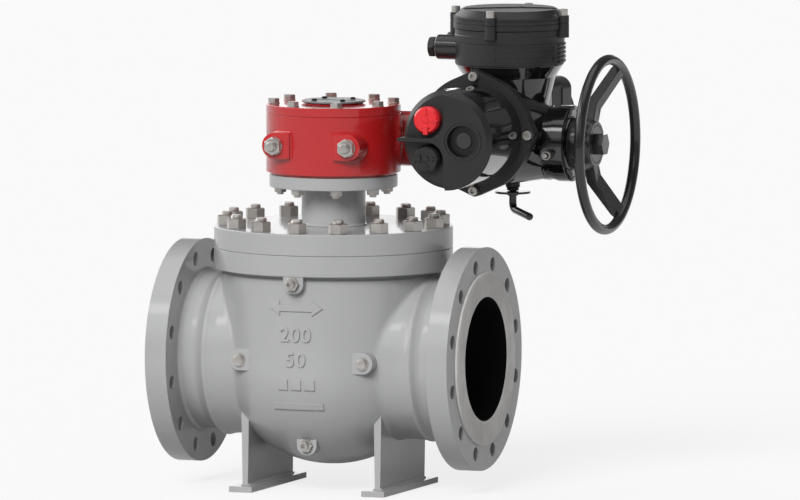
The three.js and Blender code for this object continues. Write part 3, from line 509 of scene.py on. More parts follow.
# ------------------------------------------------------------------ pieces
def piece(name, parts, node="", body="housing", crease=32):
    """Makes one object from (shape, material) pairs. It rides on a CAD body and may replace a CAD node."""
    materials = list(dict.fromkeys(material for _, material in parts))
    points, faces = merged(*[shape for shape, _ in parts])
    mesh = mesh_of(name, (to_row(points), faces))
    for material in materials:
        mesh.materials.append(material)
    index = np.concatenate([[materials.index(material)] * len(shape[1]) for shape, material in parts])
    mesh.polygons.foreach_set("material_index", index.astype(np.int32))
    mesh.polygons.foreach_set("use_smooth", np.ones(len(mesh.polygons), bool))
    mesh.set_sharp_from_angle(angle=math.radians(crease))
    thing = placed(name, mesh)
    weighted = thing.modifiers.new("normals", "WEIGHTED_NORMAL")
    weighted.keep_sharp = True
    weighted.weight = 50
    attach(thing, body)
    if node:
        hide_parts(node)


# ------------------------------------------------------------------ smooth castings
# A casting is the zero surface of a distance function, meshed on a grid and then drawn on to the surface.
def polygon_distance(x, y, corners):
    """Signed distance in a plane to a closed polygon, negative inside."""
    best = np.full(x.shape, 1e18)
    inside = np.zeros(x.shape, bool)
    for (ax, ay), (bx, by) in zip(corners, corners[1:] + corners[:1]):
        ex, ey = bx - ax, by - ay
        wx, wy = x - ax, y - ay
        t = np.clip((wx * ex + wy * ey) / (ex * ex + ey * ey), 0, 1)
        best = np.minimum(best, (wx - t * ex) ** 2 + (wy - t * ey) ** 2)
        if ey:
            inside ^= ((ay > y) != (by > y)) & (x < ex * (y - ay) / ey + ax)
    return np.where(inside, -1, 1) * np.sqrt(best)


def blended(a, b, radius):
    """Union of two distances with a fillet between them."""
    h = np.clip(0.5 + 0.5 * (b - a) / radius, 0, 1)
    return b * (1 - h) + a * h - radius * h * (1 - h)


def surface_net(distance, low, high, cell):
    """Meshes the zero surface of distance(points) inside a box."""
    axes = [np.arange(a, b + cell, cell) for a, b in zip(low, high)]
    shape = tuple(len(a) for a in axes)
    field = np.empty(shape, np.float32)
    yy, zz = np.meshgrid(axes[1], axes[2], indexing="ij")
    for i, x in enumerate(axes[0]):
        layer = np.stack([np.full(yy.size, x), yy.ravel(), zz.ravel()], 1)
        field[i] = distance(layer).reshape(yy.shape)
    solid = field < 0
    corners = [(i, j, k) for i in (0, 1) for j in (0, 1) for k in (0, 1)]
    cells = tuple(n - 1 for n in shape)
    count = np.zeros(cells, np.int8)
    for i, j, k in corners:
        count += solid[i:i + cells[0], j:j + cells[1], k:k + cells[2]]
    active = (count > 0) & (count < 8)
    where = np.argwhere(active)
    number = np.full(cells, -1, np.int64)
    number[tuple(where.T)] = np.arange(len(where))
    total, hits = np.zeros((len(where), 3)), np.zeros(len(where))
    for a in corners:
        for axis in range(3):
            if a[axis]:
                continue
            b = tuple(1 if n == axis else v for n, v in enumerate(a))
            fa = field[tuple((where + a).T)].astype(float)
            fb = field[tuple((where + b).T)].astype(float)
            crossing = (fa < 0) != (fb < 0)
            t = np.where(crossing, fa / np.where(crossing, fa - fb, 1), 0)
            point = where + np.array(a, float)
            point[:, axis] += t
            total[crossing] += point[crossing]
            hits += crossing
    points = np.array([a[0] for a in axes]) + total / hits[:, None] * cell
    faces = []
    for axis in range(3):
        u, v = (axis + 1) % 3, (axis + 2) % 3
        ahead = [slice(None)] * 3
        behind = [slice(None)] * 3
        ahead[axis], behind[axis] = slice(1, None), slice(None, -1)
        change = solid[tuple(ahead)].astype(int) - solid[tuple(behind)]
        edges = np.argwhere(change)
        edges = edges[(edges[:, [u, v]] > 0).all(1) & (edges[:, [u, v]] < [cells[u], cells[v]]).all(1)]
        sign = change[tuple(edges.T)]
        quad = []
        for du, dv in ((1, 1), (0, 1), (0, 0), (1, 0)):
            place = edges.copy()
            place[:, u] -= du
            place[:, v] -= dv
            quad.append(number[tuple(place.T)])
        quad = np.stack(quad, 1)
        quad[sign > 0] = quad[sign > 0][:, ::-1]
        faces.append(quad)
    return points, np.concatenate(faces)


def slope(distance, points, step=0.25):
    axes = np.eye(3) * step
    return np.stack([(distance(points + a) - distance(points - a)) / (2 * step) for a in axes], 1)


def casting(distance, low, high, cell, rounds=3):
    """Closed smooth mesh of a distance function, with evenly spread points."""
    points, quads = surface_net(distance, low, high, cell)
    sides = np.concatenate([quads[:, [0, 1]], quads[:, [1, 2]], quads[:, [2, 3]], quads[:, [3, 0]]])
    for turn in range(rounds):
        total, hits = np.zeros_like(points), np.zeros(len(points))
        np.add.at(total, sides[:, 0], points[sides[:, 1]])
        np.add.at(hits, sides[:, 0], 1)
        np.add.at(total, sides[:, 1], points[sides[:, 0]])
        np.add.at(hits, sides[:, 1], 1)
        points = 0.5 * points + 0.5 * total / hits[:, None]
        for _ in range(2 if turn == rounds - 1 else 1):
            normal = slope(distance, points)
            size = np.maximum((normal ** 2).sum(1), 0.25)
            step = np.clip(distance(points) / size, -cell, cell)
            points = points - normal * step[:, None]
    return points, [tuple(q) for q in quads.tolist()]


# ------------------------------------------------------------------ wrapping flat marks round a barrel
def bent(shape, radius_at, step=4.0):
    """Wraps a flat shape (x along the skin, y up it, z outwards) round the front of a barrel about z."""
    work = opened(mesh_of("flat", shape))
    xs = shape[0][:, 0]
    for x in np.arange(math.floor(xs.min() / step) * step + step, xs.max(), step):
        everything = work.verts[:] + work.edges[:] + work.faces[:]
        bmesh.ops.bisect_plane(work, geom=everything, plane_co=(x, 0, 0), plane_no=(1, 0, 0))
    flat, faces = taken(work)
    base = radius_at(flat[:, 1])
    angle = flat[:, 0] / base
    reach = base + flat[:, 2]
    return np.stack([reach * np.sin(angle), -reach * np.cos(angle), flat[:, 1]], 1), faces


# ------------------------------------------------------------------ valve body
FACE_X, BOLTING_X, FLANGE_BACK = 278.0, 274.5, 236.0
BARREL, BELLY_Z, BELLY_DEPTH = 190, -13, 175  # below BELLY_Z the barrel closes as half an ellipsoid
CAST_TOP, CAST_BOTTOM = 141.0, -186
BORE_PORT, BORE_MOUTH = 84.0, 106.5
DRIVE_Y, DRIVE_Z = 104.0, 365.4
FOOT_X, FOOT_TOP = 120.5, -220  # middle of a foot's web, and the top of its base plate
RIM = 204.8
NOZZLE = [(-60, -60), (-60, 141), (168, 141), (180, 142.6), (185, 144.4), (189, 144), (197, 137.5),
          (204, 134), (240, 134), (240, -60)]
CAVITY = [(-60, -170), (33, -170), (33, -125.5), (101, -125.5), (149.6, -109.5), (149.6, 200), (-60, 200)]
PASSAGE = [(-60, -60), (-60, BORE_PORT), (144, BORE_PORT), (220, BORE_MOUTH), (300, BORE_MOUTH), (300, -60)]
SIDE_X, SIDE_Z, SIDE_FACE = 112, 1, -165
VENT_Z, VENT_FACE = 137.8, -203
DRAIN_Z, DRAIN_FACE = -145, -135.6


def barrel_radius(z):
    drop = np.clip((BELLY_Z - z) / BELLY_DEPTH, 0, 0.999)
    return BARREL * np.sqrt(1 - drop ** 2)


def body_skin(p):
    x, y, z = p.T
    r = np.hypot(x, y)
    below = np.minimum(z - BELLY_Z, 0)
    k0 = np.sqrt((r / BARREL) ** 2 + (below / BELLY_DEPTH) ** 2)
    k1 = np.sqrt((r / BARREL ** 2) ** 2 + (below / BELLY_DEPTH ** 2) ** 2)
    barrel = k0 * (k0 - 1) / np.maximum(k1, 1e-9)
    barrel = np.maximum(barrel, z - CAST_TOP)
    nozzle = polygon_distance(np.abs(x), np.hypot(y, z), NOZZLE)
    return np.maximum(blended(barrel, nozzle, 6), CAST_BOTTOM - z)


def body_metal(p):
    x, y, z = p.T
    cavity = polygon_distance(np.hypot(x, y), z, CAVITY)
    passage = polygon_distance(np.abs(x), np.hypot(y, z), PASSAGE)
    return np.maximum(body_skin(p), -np.minimum(cavity, passage))


def lug(x, z, radius, face_y, back_y, shoulder, towards):
    """Boss along y that carries a fitting: a disc with a square shoulder on one side."""
    outline = tab(np.array([x, z], float), radius, shoulder, towards, radius)
    return laid(plate(outline, [], -back_y, -face_y, 1.5), "-y")


def lugs():
    sides = [lug(hand * SIDE_X, SIDE_Z, 17.1, SIDE_FACE, -115, 17.4, (-hand, 0)) for hand in (1, -1)]
    vent = lug(0, VENT_Z, 16.8, VENT_FACE, -165, 12, (0, 1))
    drain = lug(0, DRAIN_Z, 16.8, DRAIN_FACE, -100, 13, (0, 1))
    return merged(*sides, vent, drain)


def flange(hand):
    """End flange with its bolt holes, weld fillet, grooved raised face and bore liner; the liner is coloured
    near black as painted shade inside the bore.
    """
    holes = [circle(28, 13.0) + centre for centre in circle(12, 165.1, 15)]
    holes.append(circle(128, BORE_MOUTH + 4))
    disc = laid(plate(circle(160, FLANGE_RADIUS), holes, FLANGE_BACK, BOLTING_X, 1.2), "x")
    fillet = lathe([(150, 236.5), (133.5, 236.5), (133.5, 229), (134.3, 229), (135.2, 232), (137.4, 234.6),
                    (141, 235.9)], "x", steps=128)
    face = lathe([(BORE_MOUTH, 272), (149, 272), (149, FACE_X, 0.8), (BORE_MOUTH, FACE_X, 1.2)],
                 "x", steps=160)
    liner = lathe([(106.9, 277.2), (106.9, 220.3), (84.6, 143.7), (84.6, 118), (83.4, 118), (83.4, 143.9),
                   (105.6, 220), (105.6, 277.2)], "x", steps=128)
    liner = boolean(liner, cylinder(150, -120, 120, steps=128))
    grooves = merged(*[
        lathe([(r - 0.25, FACE_X), (r, FACE_X + 0.35), (r + 0.25, FACE_X)], "x", steps=128, fine=0)
        for r in np.arange(112, 146, 1.6)])
    parts = [(disc, GREY), (fillet, GREY), (face, FACE), (grooves, FACE), (liner, BORE_SHADE)]
    return parts if hand > 0 else [(spun(shape, "z", 180), material) for shape, material in parts]


def double_arrow(length, head, head_half, shaft_half):
    """Outline of a two-headed arrow along x."""
    neck = length - head
    right = [(neck, shaft_half), (neck, head_half), (length, 0), (neck, -head_half), (neck, -shaft_half)]
    return np.array(right + [(-x, -y) for x, y in right])


def marks():
    """Raised marks down the front of the barrel: a two-headed arrow, figures, three pads and a bar."""
    low, high, edge = -4, 2.8, 1.2
    flat = [
        moved(plate(double_arrow(46, 16, 11, 4.5), [], low, high, edge), (0, 95, 0)),
        moved(figures("200", 24, low, 3.0), (0, 49.5, 0)),
        moved(figures("50", 24, low, 3.0), (0, 6.5, 0)),
        *[moved(plate(box(-8, 8, -8, 8), [], low, high, edge), (x, -37, 0)) for x in (-24, 0, 24)],
        moved(plate(box(-44, 44, -5, 5), [], low, high, edge), (0, -74.5, 0)),
    ]
    return merged(*[bent(shape, barrel_radius) for shape in flat])


def valve_body():
    cell = 2.6
    cast = casting(body_metal, (-244, -210, -192), (244, 196, 162), cell)
    rim = lathe([(148, 136), (190.06, 136), (190.06, 141), (187, 145, 2), (187, 149.8), (RIM, 149.8, 1.5),
                 (RIM, 185.5, 1.2), (168, 185.5), (168, 183), (148, 183)], steps=192)
    pad = lathe([(0, -186), (28.6, -186, 0.8), (29.6, -184.5), (0, -182)], steps=64)
    grey = [(shape, GREY) for shape in (cast, rim, pad, marks(), lugs())]
    piece("body_casting_skin", [*grey, *flange(1), *flange(-1)], "body_casting", crease=28)


def feet():
    """Tapered webs cut to the belly and the nozzles, on base plates with welds."""
    belly = lathe([(0, -182), (barrel_radius(-182.0) - 3, -182),
                   *[(float(barrel_radius(z)) - 3, z) for z in np.linspace(-170, BELLY_Z, 12)],
                   (187, 60), (0, 60)], fine=0)
    nozzles = cylinder(138, -200, 200, "x", steps=96)
    for side, hand in (("left", -1), ("right", 1)):
        web = laid(prism([(-4.6, -229), (4.6, -229), (7.2, -70), (-7.2, -70)], -112, 112), "-y")
        web = boolean(moved(web, (hand * FOOT_X, 0, 0)), belly, nozzles)
        base = plate(box(-20, 20, -136, 136), [], FOOT_TOP - 10, FOOT_TOP, 0.7)
        weld = moved(laid(prism([(0, 0), (5, 0), (0, 5)], -111, 111), "-y"), (4.2, 0, FOOT_TOP - 0.4))
        welds = merged(weld, (weld[0] * np.array([-1, 1, 1]), weld[1]))
        foot = merged(web, moved(merged(base, welds), (hand * FOOT_X, 0, 0)))
        piece(f"foot_{side}_plate", [(foot, GREY)], f"foot_{side}", crease=30)


def fitting(hex_length, nose_length):
    """Screwed fitting up the z axis with its seat at zero."""
    head = hexagon(21, 0.35, hex_length, chamfer_low=True, phase=math.pi / 6)
    top = hex_length + nose_length
    return merged(head, lathe([(0, -12), (8.5, -12), (8.5, 0.2), (7.5, 0.4), (7.5, top, 1), (3.9, top),
                               (3.9, top - 5), (0, top - 5)], steps=40))


def plug_screw():
    """Low round plug with a softly domed face and a seat ring, up the z axis."""
    return lathe([(0, -12), (8.5, -12), (8.5, 0.5), (11.2, 0.3), (11.2, 1.6, 0.6), (9, 2), (9, 7.8, 1.2),
                  (5.4, 8.7, 2), (0, 9)], steps=64)


valve_body()
feet()
for name, shape, at in (
        ("vent_fitting", fitting(9, 10), (0, VENT_FACE, VENT_Z)),
        ("drain_fitting", fitting(8, 9), (0, DRAIN_FACE, DRAIN_Z)),
        ("side_plug_left", plug_screw(), (-SIDE_X, SIDE_FACE, SIDE_Z)),
        ("side_plug_right", plug_screw(), (SIDE_X, SIDE_FACE, SIDE_Z))):
    piece(name + "_turned", [(moved(laid(shape, "-y"), at), STEEL)], name)

# ------------------------------------------------------------------ bonnet, studs and yoke
BONNET_TOP = 222.9
YOKE_TOP = 310.8


def bonnet():
    disc = lathe([(47, 140), (147, 140), (147, 185.85), (RIM, 185.85, 1.2), (RIM, BONNET_TOP, 2.6),
                  (32, BONNET_TOP), (32, 190), (20.8, 190), (20.8, 176), (47, 176)], steps=192)
    piece("bonnet_disc", [(disc, GREY)], "bonnet")


def bonnet_studs(seat):
    nut = hexagon(30, seat, seat + 17, hole=9.2, phase=math.pi / 6)
    shank = cylinder(10, 157, seat + 15.5, steps=28)
    stud = merged(nut, threaded(10, seat + 15, seat + 23.5, 2.0, 0.8), shank)
    for i, (x, y) in enumerate(circle(16, 183)):
        name = f"bonnet_stud_{i + 1:02d}"
        piece(name + "_nut", [(moved(stud, (x, y, 0)), STEEL)], name)


def yoke(seat):
    stool = lathe([(45, seat), (57.5, seat), (57.5, seat + 1.5), (54.9, seat + 4), (54.9, 289.2, 3),
                   (109.9, 289.2, 1.6), (109.9, YOKE_TOP, 1.0), (45, YOKE_TOP)], steps=160)
    piece("yoke_stool", [(stool, GREY)], "yoke")
    head = hexagon(19, 279.2, 289.6, chamfer_low=True, chamfer_high=False, phase=math.pi / 6)
    tip = lathe([(0, 275.2), (5.2, 275.2), (6, 276), (6, 280), (0, 280)], steps=28)
    washer = cylinder(11.2, 287.4, 289.3, steps=36)
    bolts = at_each(merged(head, tip, washer), circle(8, 91.5, 22.5))
    piece("yoke_flange_bolts", [(bolts, STEEL)])
    gland = lathe([(20.8, 212.4), (31.5, 212.4), (31.5, 225.9), (41, 225.9, 0.8), (41, 233.9, 1),
                   (20.8, 233.9, 0.6)], steps=80)
    piece("packing_gland_turned", [(gland, STEEL)], "packing_gland")


bonnet()
bonnet_studs(BONNET_TOP + 0.35)
yoke(BONNET_TOP + 0.35)

# ------------------------------------------------------------------ gearbox
CASE = 115.3
COVER_TOP = 431.5
STOP_X = 66.5


def stop_pad(p, hand):
    """Distance to the pad behind a stop screw: a disc with a square shoulder towards the middle."""
    x, y, z = p.T
    out, up = hand * x - STOP_X, z - DRIVE_Z
    disc = np.hypot(out, up) - 22.4
    shoulder = np.maximum(np.abs(out + 13.75) - 13.75, np.abs(up) - 22.4)
    return np.maximum(np.minimum(disc, shoulder), np.maximum(-CASE - y, y + 60))


def case_metal(p):
    x, y, z = p.T
    r = np.hypot(x, y)
    drum = np.maximum(r - CASE, np.abs(z - 365) - 46)
    worm = np.hypot(y - DRIVE_Y, z - DRIVE_Z)
    tube = np.maximum(worm - 47.4, np.abs(x - 11) - 109)
    skin = blended(drum, tube, 7)
    chamber = np.maximum(r - 100, 326 - z)
    wheel = np.maximum(r - 43, 312 - z)
    hollow = np.minimum(np.minimum(chamber, wheel), np.maximum(worm - 30, np.abs(x - 22) - 106))
    for hand in (-1, 1):
        skin = blended(skin, stop_pad(p, hand), 3)
        screw_hole = np.maximum(np.hypot(x - hand * STOP_X, z - DRIVE_Z) - 9.8, y + 40)
        hollow = np.minimum(hollow, screw_hole)
    return np.maximum(skin, -hollow)


def on_drive(shape):
    return moved(shape, (0, DRIVE_Y, DRIVE_Z))


def gearbox_case():
    cell = 2.2
    cast = casting(case_metal, (-128, -122, 312), (128, 160, 418), cell)
    low = lathe([(24, 311.15), (108, 311.15, 0.6), (108, 315), (115.34, 315, 1.2), (115.34, 323),
                 (100.4, 323), (100.4, 325.6), (43.4, 325.6), (43.4, 317), (24, 317)], steps=192)
    high = lathe([(100.4, 406), (115.34, 406), (115.34, 415.8, 0.9), (100.4, 415.8)], steps=192)
    end = on_drive(lathe([(30, 115), (47.44, 115), (47.44, 124, 0.8), (30, 124)], "x"))
    cap = on_drive(lathe([(0, -98.5), (40, -98.5, 1.2), (40, -95), (47.44, -95, 1.6), (47.44, -90),
                          (0, -90)], "x"))
    parts = [(shape, RED) for shape in (cast, low, high, end, cap)]
    piece("gearbox_case_casting", parts, "gearbox_case", crease=28)


def gearbox_cover():
    disc = lathe([(43, 416.15), (CASE, 416.15, 0.9), (CASE, COVER_TOP, 1.8), (51, COVER_TOP),
                  (51, COVER_TOP + 1.6, 0.4), (43, COVER_TOP + 1.6)], steps=192)
    piece("gearbox_cover_disc", [(disc, RED)], "gearbox_cover")
    washer = lathe([(0, COVER_TOP - 0.5), (10.6, COVER_TOP - 0.5), (10.6, COVER_TOP + 1.5, 0.4),
                    (0, COVER_TOP + 1.5)], steps=36)
    bolt = merged(washer, hexagon(18, COVER_TOP + 1.3, COVER_TOP + 9, phase=math.pi / 6))
    piece("gearbox_cover_bolts", [(at_each(bolt, circle(8, 102.7, 22.5)), STEEL)])


def indicator():
    """Position dial with a groove, a raised two-headed pointer and four screws."""
    low = COVER_TOP + 2.8
    top, groove = low + 2.8, low + 2.3
    disc = lathe([(0, low), (55, low, 0.4), (55, top, 0.8), (51, top), (50.4, groove), (49.6, groove),
                  (49, top), (0, top)], steps=128)
    pointer = plate(double_arrow(40, 12, 8, 2.4), [], low + 2, low + 3.5, 0.25)
    screws = at_each(cap_screw(4.5, low + 2.6, low + 6, 4), circle(4, 36.5, 45))
    piece("indicator_plate_disc", [(merged(disc, pointer), DISC), (screws, BLACK_DEEP_AND_SHADE)], "indicator_plate",
          body="valve_drive")


def stop_screws():
    for name, hand in (("open", 1), ("closed", -1)):
        shank = lathe([(0, 36.5), (9, 36.5), (9, 132.6), (7.4, 134), (0, 134)], "-y", steps=32)
        nut = laid(hexagon(27, 116.9, 127.2, chamfer_low=True, hole=8.6), "-y")
        washer = lathe([(9, 115.65), (15.4, 115.65), (15.4, 117.3, 0.4), (9, 117.3)], "-y", steps=48)
        tip = laid(hexagon(13.5, 126, 136.5, phase=math.pi / 6), "-y")
        screw = moved(merged(shank, nut, washer, tip), (hand * STOP_X, 0, DRIVE_Z))
        piece(f"stop_screw_{name}_turned", [(screw, STEEL)], f"stop_screw_{name}")


def drive_adapter():
    turned = on_drive(lathe([(30, 124.35), (47.4, 124.35, 0.8), (47.4, 166, 3), (62, 166, 1.2),
                             (62, 178.15, 0.8), (30, 178.15)], "x", steps=128))
    piece("drive_adapter_turned", [(turned, RED)], "drive_adapter")


gearbox_case()
gearbox_cover()
indicator()
stop_screws()
drive_adapter()

# ------------------------------------------------------------------ actuator: controls
CX, CZ = 257.5, 387.0  # axis of the control cover, which faces -y
GLASS_X = 34  # from the cover's axis to the sight glass
COVER_RADIUS = 85.6


def on_control(shape):
    return moved(shape, (CX, 0, CZ))


def corner_ring(low, high, inner):
    """Flange ring with four rounded corners for its screws."""
    corners = [circle(32, 9.5) + centre for centre in circle(4, 98)]
    ring_plate = plate(hull(circle(160, 99), *corners), [circle(96, inner)], low, high)
    return on_control(laid(ring_plate, "y"))


def satin_front(shape, radius_limit, y_limit):
    """Splits a shape's faces: the moulded front is satin, the turned side is gloss."""
    points, faces = shape
    satin, gloss = [], []
    for face in faces:
        corners = points[list(face)]
        side = np.all(np.hypot(corners[:, 0], corners[:, 2]) > radius_limit) and corners[:, 1].max() > y_limit
        (gloss if side else satin).append(face)
    return [(on_control((points, satin)), BLACK_SATIN), (on_control((points, gloss)), BLACK_GLOSS)]


def cover_half(front, arc):
    """Half a turn of the cover; its front stands further out on the side of the sight glass."""
    return lathe([(0, front), (77, front, 0.6), (COVER_RADIUS, front + 9, 0.8), (COVER_RADIUS, front + 20),
                  (COVER_RADIUS, 6), (0, 6)], "y", arc=arc)


def arc_points(cx, cz, radius, start, end):
    angles = np.radians(np.linspace(start, end, 20))
    return [(cx + radius * math.cos(a), cz + radius * math.sin(a)) for a in angles]


def ridge():
    """Raised face plate: flat on the glass side, with a tongue running out between the two selectors."""
    upper = [(1.5, 33.5), *arc_points(-31, 33.5, 31, 0, -90), (-82.2, 2.5), (-83.6, 1.2)]
    outline = upper + [(x, -z) for x, z in reversed(upper)]
    return laid(plate([(x, -z) for x, z in outline], [], -160.9, -129, 0.6), "y")


def control_cover():
    sight = cylinder(27, -170, -146, "y", (GLASS_X, 0, 0), 72)
    aperture = cylinder(22, -150, -100, "y", (GLASS_X, 0, 0), 72)
    hollow = cylinder(76.6, -112, 20, "y", steps=96)
    right = boolean(cover_half(-161, (-90, 90)), sight, aperture, hollow)
    left = boolean(cover_half(-130, (90, 270)), hollow)
    bezels = merged(lathe([(31.6, -160), (31.6, -162.3, 0.4), (34.8, -162.3, 0.8), (34.8, -160)], "y"),
                    lathe([(27, -160), (27, -161.9, 0.3), (28.4, -161.9, 0.3), (28.4, -160)], "y"))
    fronts = satin_front(right, 84, -150) + satin_front(left, 84, -119)
    trim = merged(on_control(ridge()), on_control(moved(bezels, (GLASS_X, 0, 0))), corner_ring(-4, 8, 70))
    piece("control_cover_shell", [*fronts, (trim, BLACK_SATIN)], "control_cover", crease=25)
    screws = on_control(laid(at_each(cap_screw(8, 4, 14, 8), circle(4, 98)), "-y"))
    piece("control_cover_screws", [(screws, STEEL)])


def sight_glass():
    window = lathe([(0, -149.6), (26.4, -149.6, 0.4), (26.4, -146.4), (0, -146.4)], "y", (GLASS_X, 0, 0), 80)
    button = lathe([(0, -153.4), (11.4, -153.4), (13.7, -152.2, 0.6), (13.7, -149), (0, -149)], "y",
                   (GLASS_X, 0, 0), 80)
    # The window at the bottom of the recess is near black: painted shade in the recess.
    parts = [(on_control(window), BLACK_DEEP_AND_SHADE), (on_control(button), LENS)]
    piece("sight_glass_window", parts, "sight_glass")


def knob():
    """Selector knob facing -y with its pointer down, a tick above it, and a square with a bar to one side."""
    body = lathe([(0, -148), (20, -148, 1.2), (23.5, -143, 1.0), (23.5, -130.4), (4.4, -130.4), (4.4, -120),
                  (0, -120)], "y")
    cap = lathe([(0, -149.2), (4.6, -149.2), (5.4, -148.4), (5.4, -147), (0, -147)], "y", steps=48)
    groove = lathe([(6.6, -147.6), (6.9, -148.3), (7.2, -147.6)], "y", steps=48, fine=0)
    pointer = [(-4, 9.5), (4, 9.5), (6.4, 12), (3.6, 12.4), (3.6, 23.8), (-3.6, 23.8), (-3.6, 12.4),
               (-6.4, 12)]
    chevron = [(-4, -13), (0, -8.6), (4, -13), (2.6, -13.8), (0, -11), (-2.6, -13.8)]
    raised_marks = [
        plate(pointer, [], -151, -146, 0.5),
        plate(box(-1.2, 1.2, -22, -12.5), [], -150, -147, 0.3),
        plate(chevron, [], -150, -147, 0.3),
        plate(box(11, 19, -4, 4), [box(13, 17, -2, 2)[::-1]], -150, -147, 0.3),
        plate(box(8.4, 22, -1, 1), [], -149.6, -147, 0.3)]
    return merged(body, cap, groove, laid(merged(*raised_marks), "y"))


def selectors():
    for colour, turn, up, material in (("red", 0, 32.8, RED_PLASTIC), ("black", 90, -32.8, BLACK_SATIN)):
        name = f"selector_{colour}"
        shape = moved(spun(knob(), "y", turn), (CX - 36.5, 0, CZ + up))
        piece(name + "_knob", [(shape, material)], name, name)


control_cover()
sight_glass()
selectors()

# ------------------------------------------------------------------ actuator: gear case, motor and terminals
MX, MZ = 268.0, 401.4  # axis of the motor, along y
DX, DY = 283.0, 104.0  # axis of the terminal housing, upright
LEVER_X, LEVER_Y = 289, 104
EARTH_X, EARTH_Z = 377, 350


def on_motor(shape):
    return moved(shape, (MX, 0, MZ))


def on_terminal(shape):
    return moved(shape, (DX, DY, 0))


def gear_case():
    shoulder = wrapped(on_control(cylinder(95, 20, 36, "y", steps=40)),
                       on_drive(cylinder(60, 300, 362, "x", steps=32)))
    neck = on_terminal(lathe([(0, 400), (60, 400), (79, 478, 6), (92.4, 498.6), (92.4, 499.4), (0, 499.4)],
                             steps=128))
    column = on_drive(lathe([
        (40, 178.5), (62, 178.5, 1), (62, 350), (63.6, 351.4), (63.6, 360), (62.6, 361), (62.6, 371),
        (63.8, 372), (63.8, 377), (65.5, 378), (65.5, 400, 1.4), (58, 400), (57, 398), (47, 398), (46, 400),
        (40, 400, 1)], "x", steps=160))
    clutch_room = on_drive(cylinder(41, 200, 362, "x"))
    spigot = wrapped(on_motor(cylinder(62, 120, 190, "y", steps=40)),
                     on_motor(laid(prism(box(-61, 61, -61, 61), 150, 190), "y")))
    rib = wrapped(on_drive(cylinder(61, 345, 350, "x", steps=24)),
                  on_terminal(cylinder(60, 415, 430, steps=24)))
    lever_boss = lathe([(7.2, 281.6), (10.2, 281.6, 0.6), (10.2, 286), (12.4, 288), (12.4, 320), (7.2, 320)],
                       at=(LEVER_X, LEVER_Y, 0), steps=48)
    earth_boss = lathe([(0, 34), (9, 34, 0.8), (9, 62), (0, 62)], "y", (EARTH_X, 0, EARTH_Z), 40)
    piece("gear_case_casting", [
        (corner_ring(8.35, 20.35, 60), BLACK_SATIN), (shoulder, BLACK_GLOSS), (neck, BLACK_GLOSS),
        (column, BLACK_GLOSS), (boolean(spigot, clutch_room), BLACK_GLOSS), (lever_boss, BLACK_SATIN),
        (earth_boss, BLACK_GLOSS), (boolean(rib, clutch_room), BLACK_GLOSS)],
        "gear_case", crease=20)


def earth_screw():
    nuts = [laid(hexagon(12, low, high, chamfer_low=True), "-y")
            for low, high in ((-35, -29.5), (-28.5, -24))]
    washer = cylinder(7.4, 24, 25.2, "y", steps=32)
    shank = cylinder(3.6, 20, 35, "y", steps=24)
    piece("earth_screw_set", [(moved(merged(*nuts, washer, shank), (EARTH_X, 0, EARTH_Z)), STEEL)])


def rounded_square(half, corner, steps=10):
    out = []
    for k in range(4):
        a = k * math.pi / 2
        centre = (half - corner) * np.array([math.cos(a) - math.sin(a), math.sin(a) + math.cos(a)])
        out += [centre + corner * np.array([math.cos(a + t), math.sin(a + t)])
                for t in np.linspace(0, math.pi / 2, steps)]
    return np.array(out)


def motor():
    """Square motor body with a narrower neck and a turned end bell."""
    bore = circle(64, 44)
    neck = laid(plate(rounded_square(61, 12), [bore], 190.4, 240), "y")
    body = laid(plate(rounded_square(62, 20), [bore], 239, 286, 1.6), "y")
    bell = lathe([(44, 280), (58, 280), (58, 306, 1), (57, 322, 10), (46, 335, 6), (30, 340, 2), (0, 340),
                  (0, 322), (44, 318)], "y", steps=128)
    parts = [(on_motor(neck), BLACK_DEEP_AND_SHADE), (on_motor(body), BLACK_SATIN), (on_motor(bell), BLACK_WHEEL)]
    piece("motor_can", parts, "motor_housing", crease=24)


def ears(low, high):
    """Four screw ears round the terminal housing."""
    outlines = [tab(out * 97.7, 9, -11.7, out, 9, 28) for out in circle(4, 1)]
    return on_terminal(merged(*[plate(outline, [], low, high, 0.8) for outline in outlines]))


def round_slot(x0, x1, y0, y1):
    r, cy = (y1 - y0) / 2, (y0 + y1) / 2
    half_turn = np.linspace(-math.pi / 2, math.pi / 2, 12)
    left = [(x0 + r - r * math.cos(a), cy - r * math.sin(a)) for a in half_turn]
    right = [(x1 - r + r * math.cos(a), cy + r * math.sin(a)) for a in half_turn]
    return left + right


def terminal_housing():
    drum = lathe([(50, 499.8), (93.6, 499.8, 2), (93.6, 538), (94.4, 539), (94.4, 550.5), (93.6, 551.5),
                  (93.6, 560), (96, 562), (96, 571, 0.7), (80, 571), (80, 507), (50, 507)], steps=192)
    entry = [(14, 162), (20, 162, 0.8), (21.4, 164, 1), (21.4, 223), (23.4, 226), (23.4, 232), (14, 232)]
    entries = merged(*[lathe(entry, "x", (0, DY + y, 527), 72) for y in (-26, 26)])
    slots = [round_slot(6.5, 120, 526, 534.5), round_slot(6.5, 120, 507, 515.5)]
    panel = plate(box(3, 132, 503.5, 538), slots, -1.5, 1.0, 0.3)
    panel = bent(panel, lambda z: np.full(len(z), 93.6))
    ribs = merged(*[lathe([(92, z), (96.6, z + 0.5), (96.6, z + 3.6), (92, z + 4.1)], steps=32, arc=(-8, 40))
                    for z in 503.5 + 7.2 * np.arange(5)])
    satin = merged(on_terminal(merged(drum, panel, ribs)), ears(547, 571))
    parts = [(satin, BLACK_SATIN), (entries, BLACK_WHEEL)]
    piece("terminal_housing_drum", parts, "terminal_housing", crease=28)


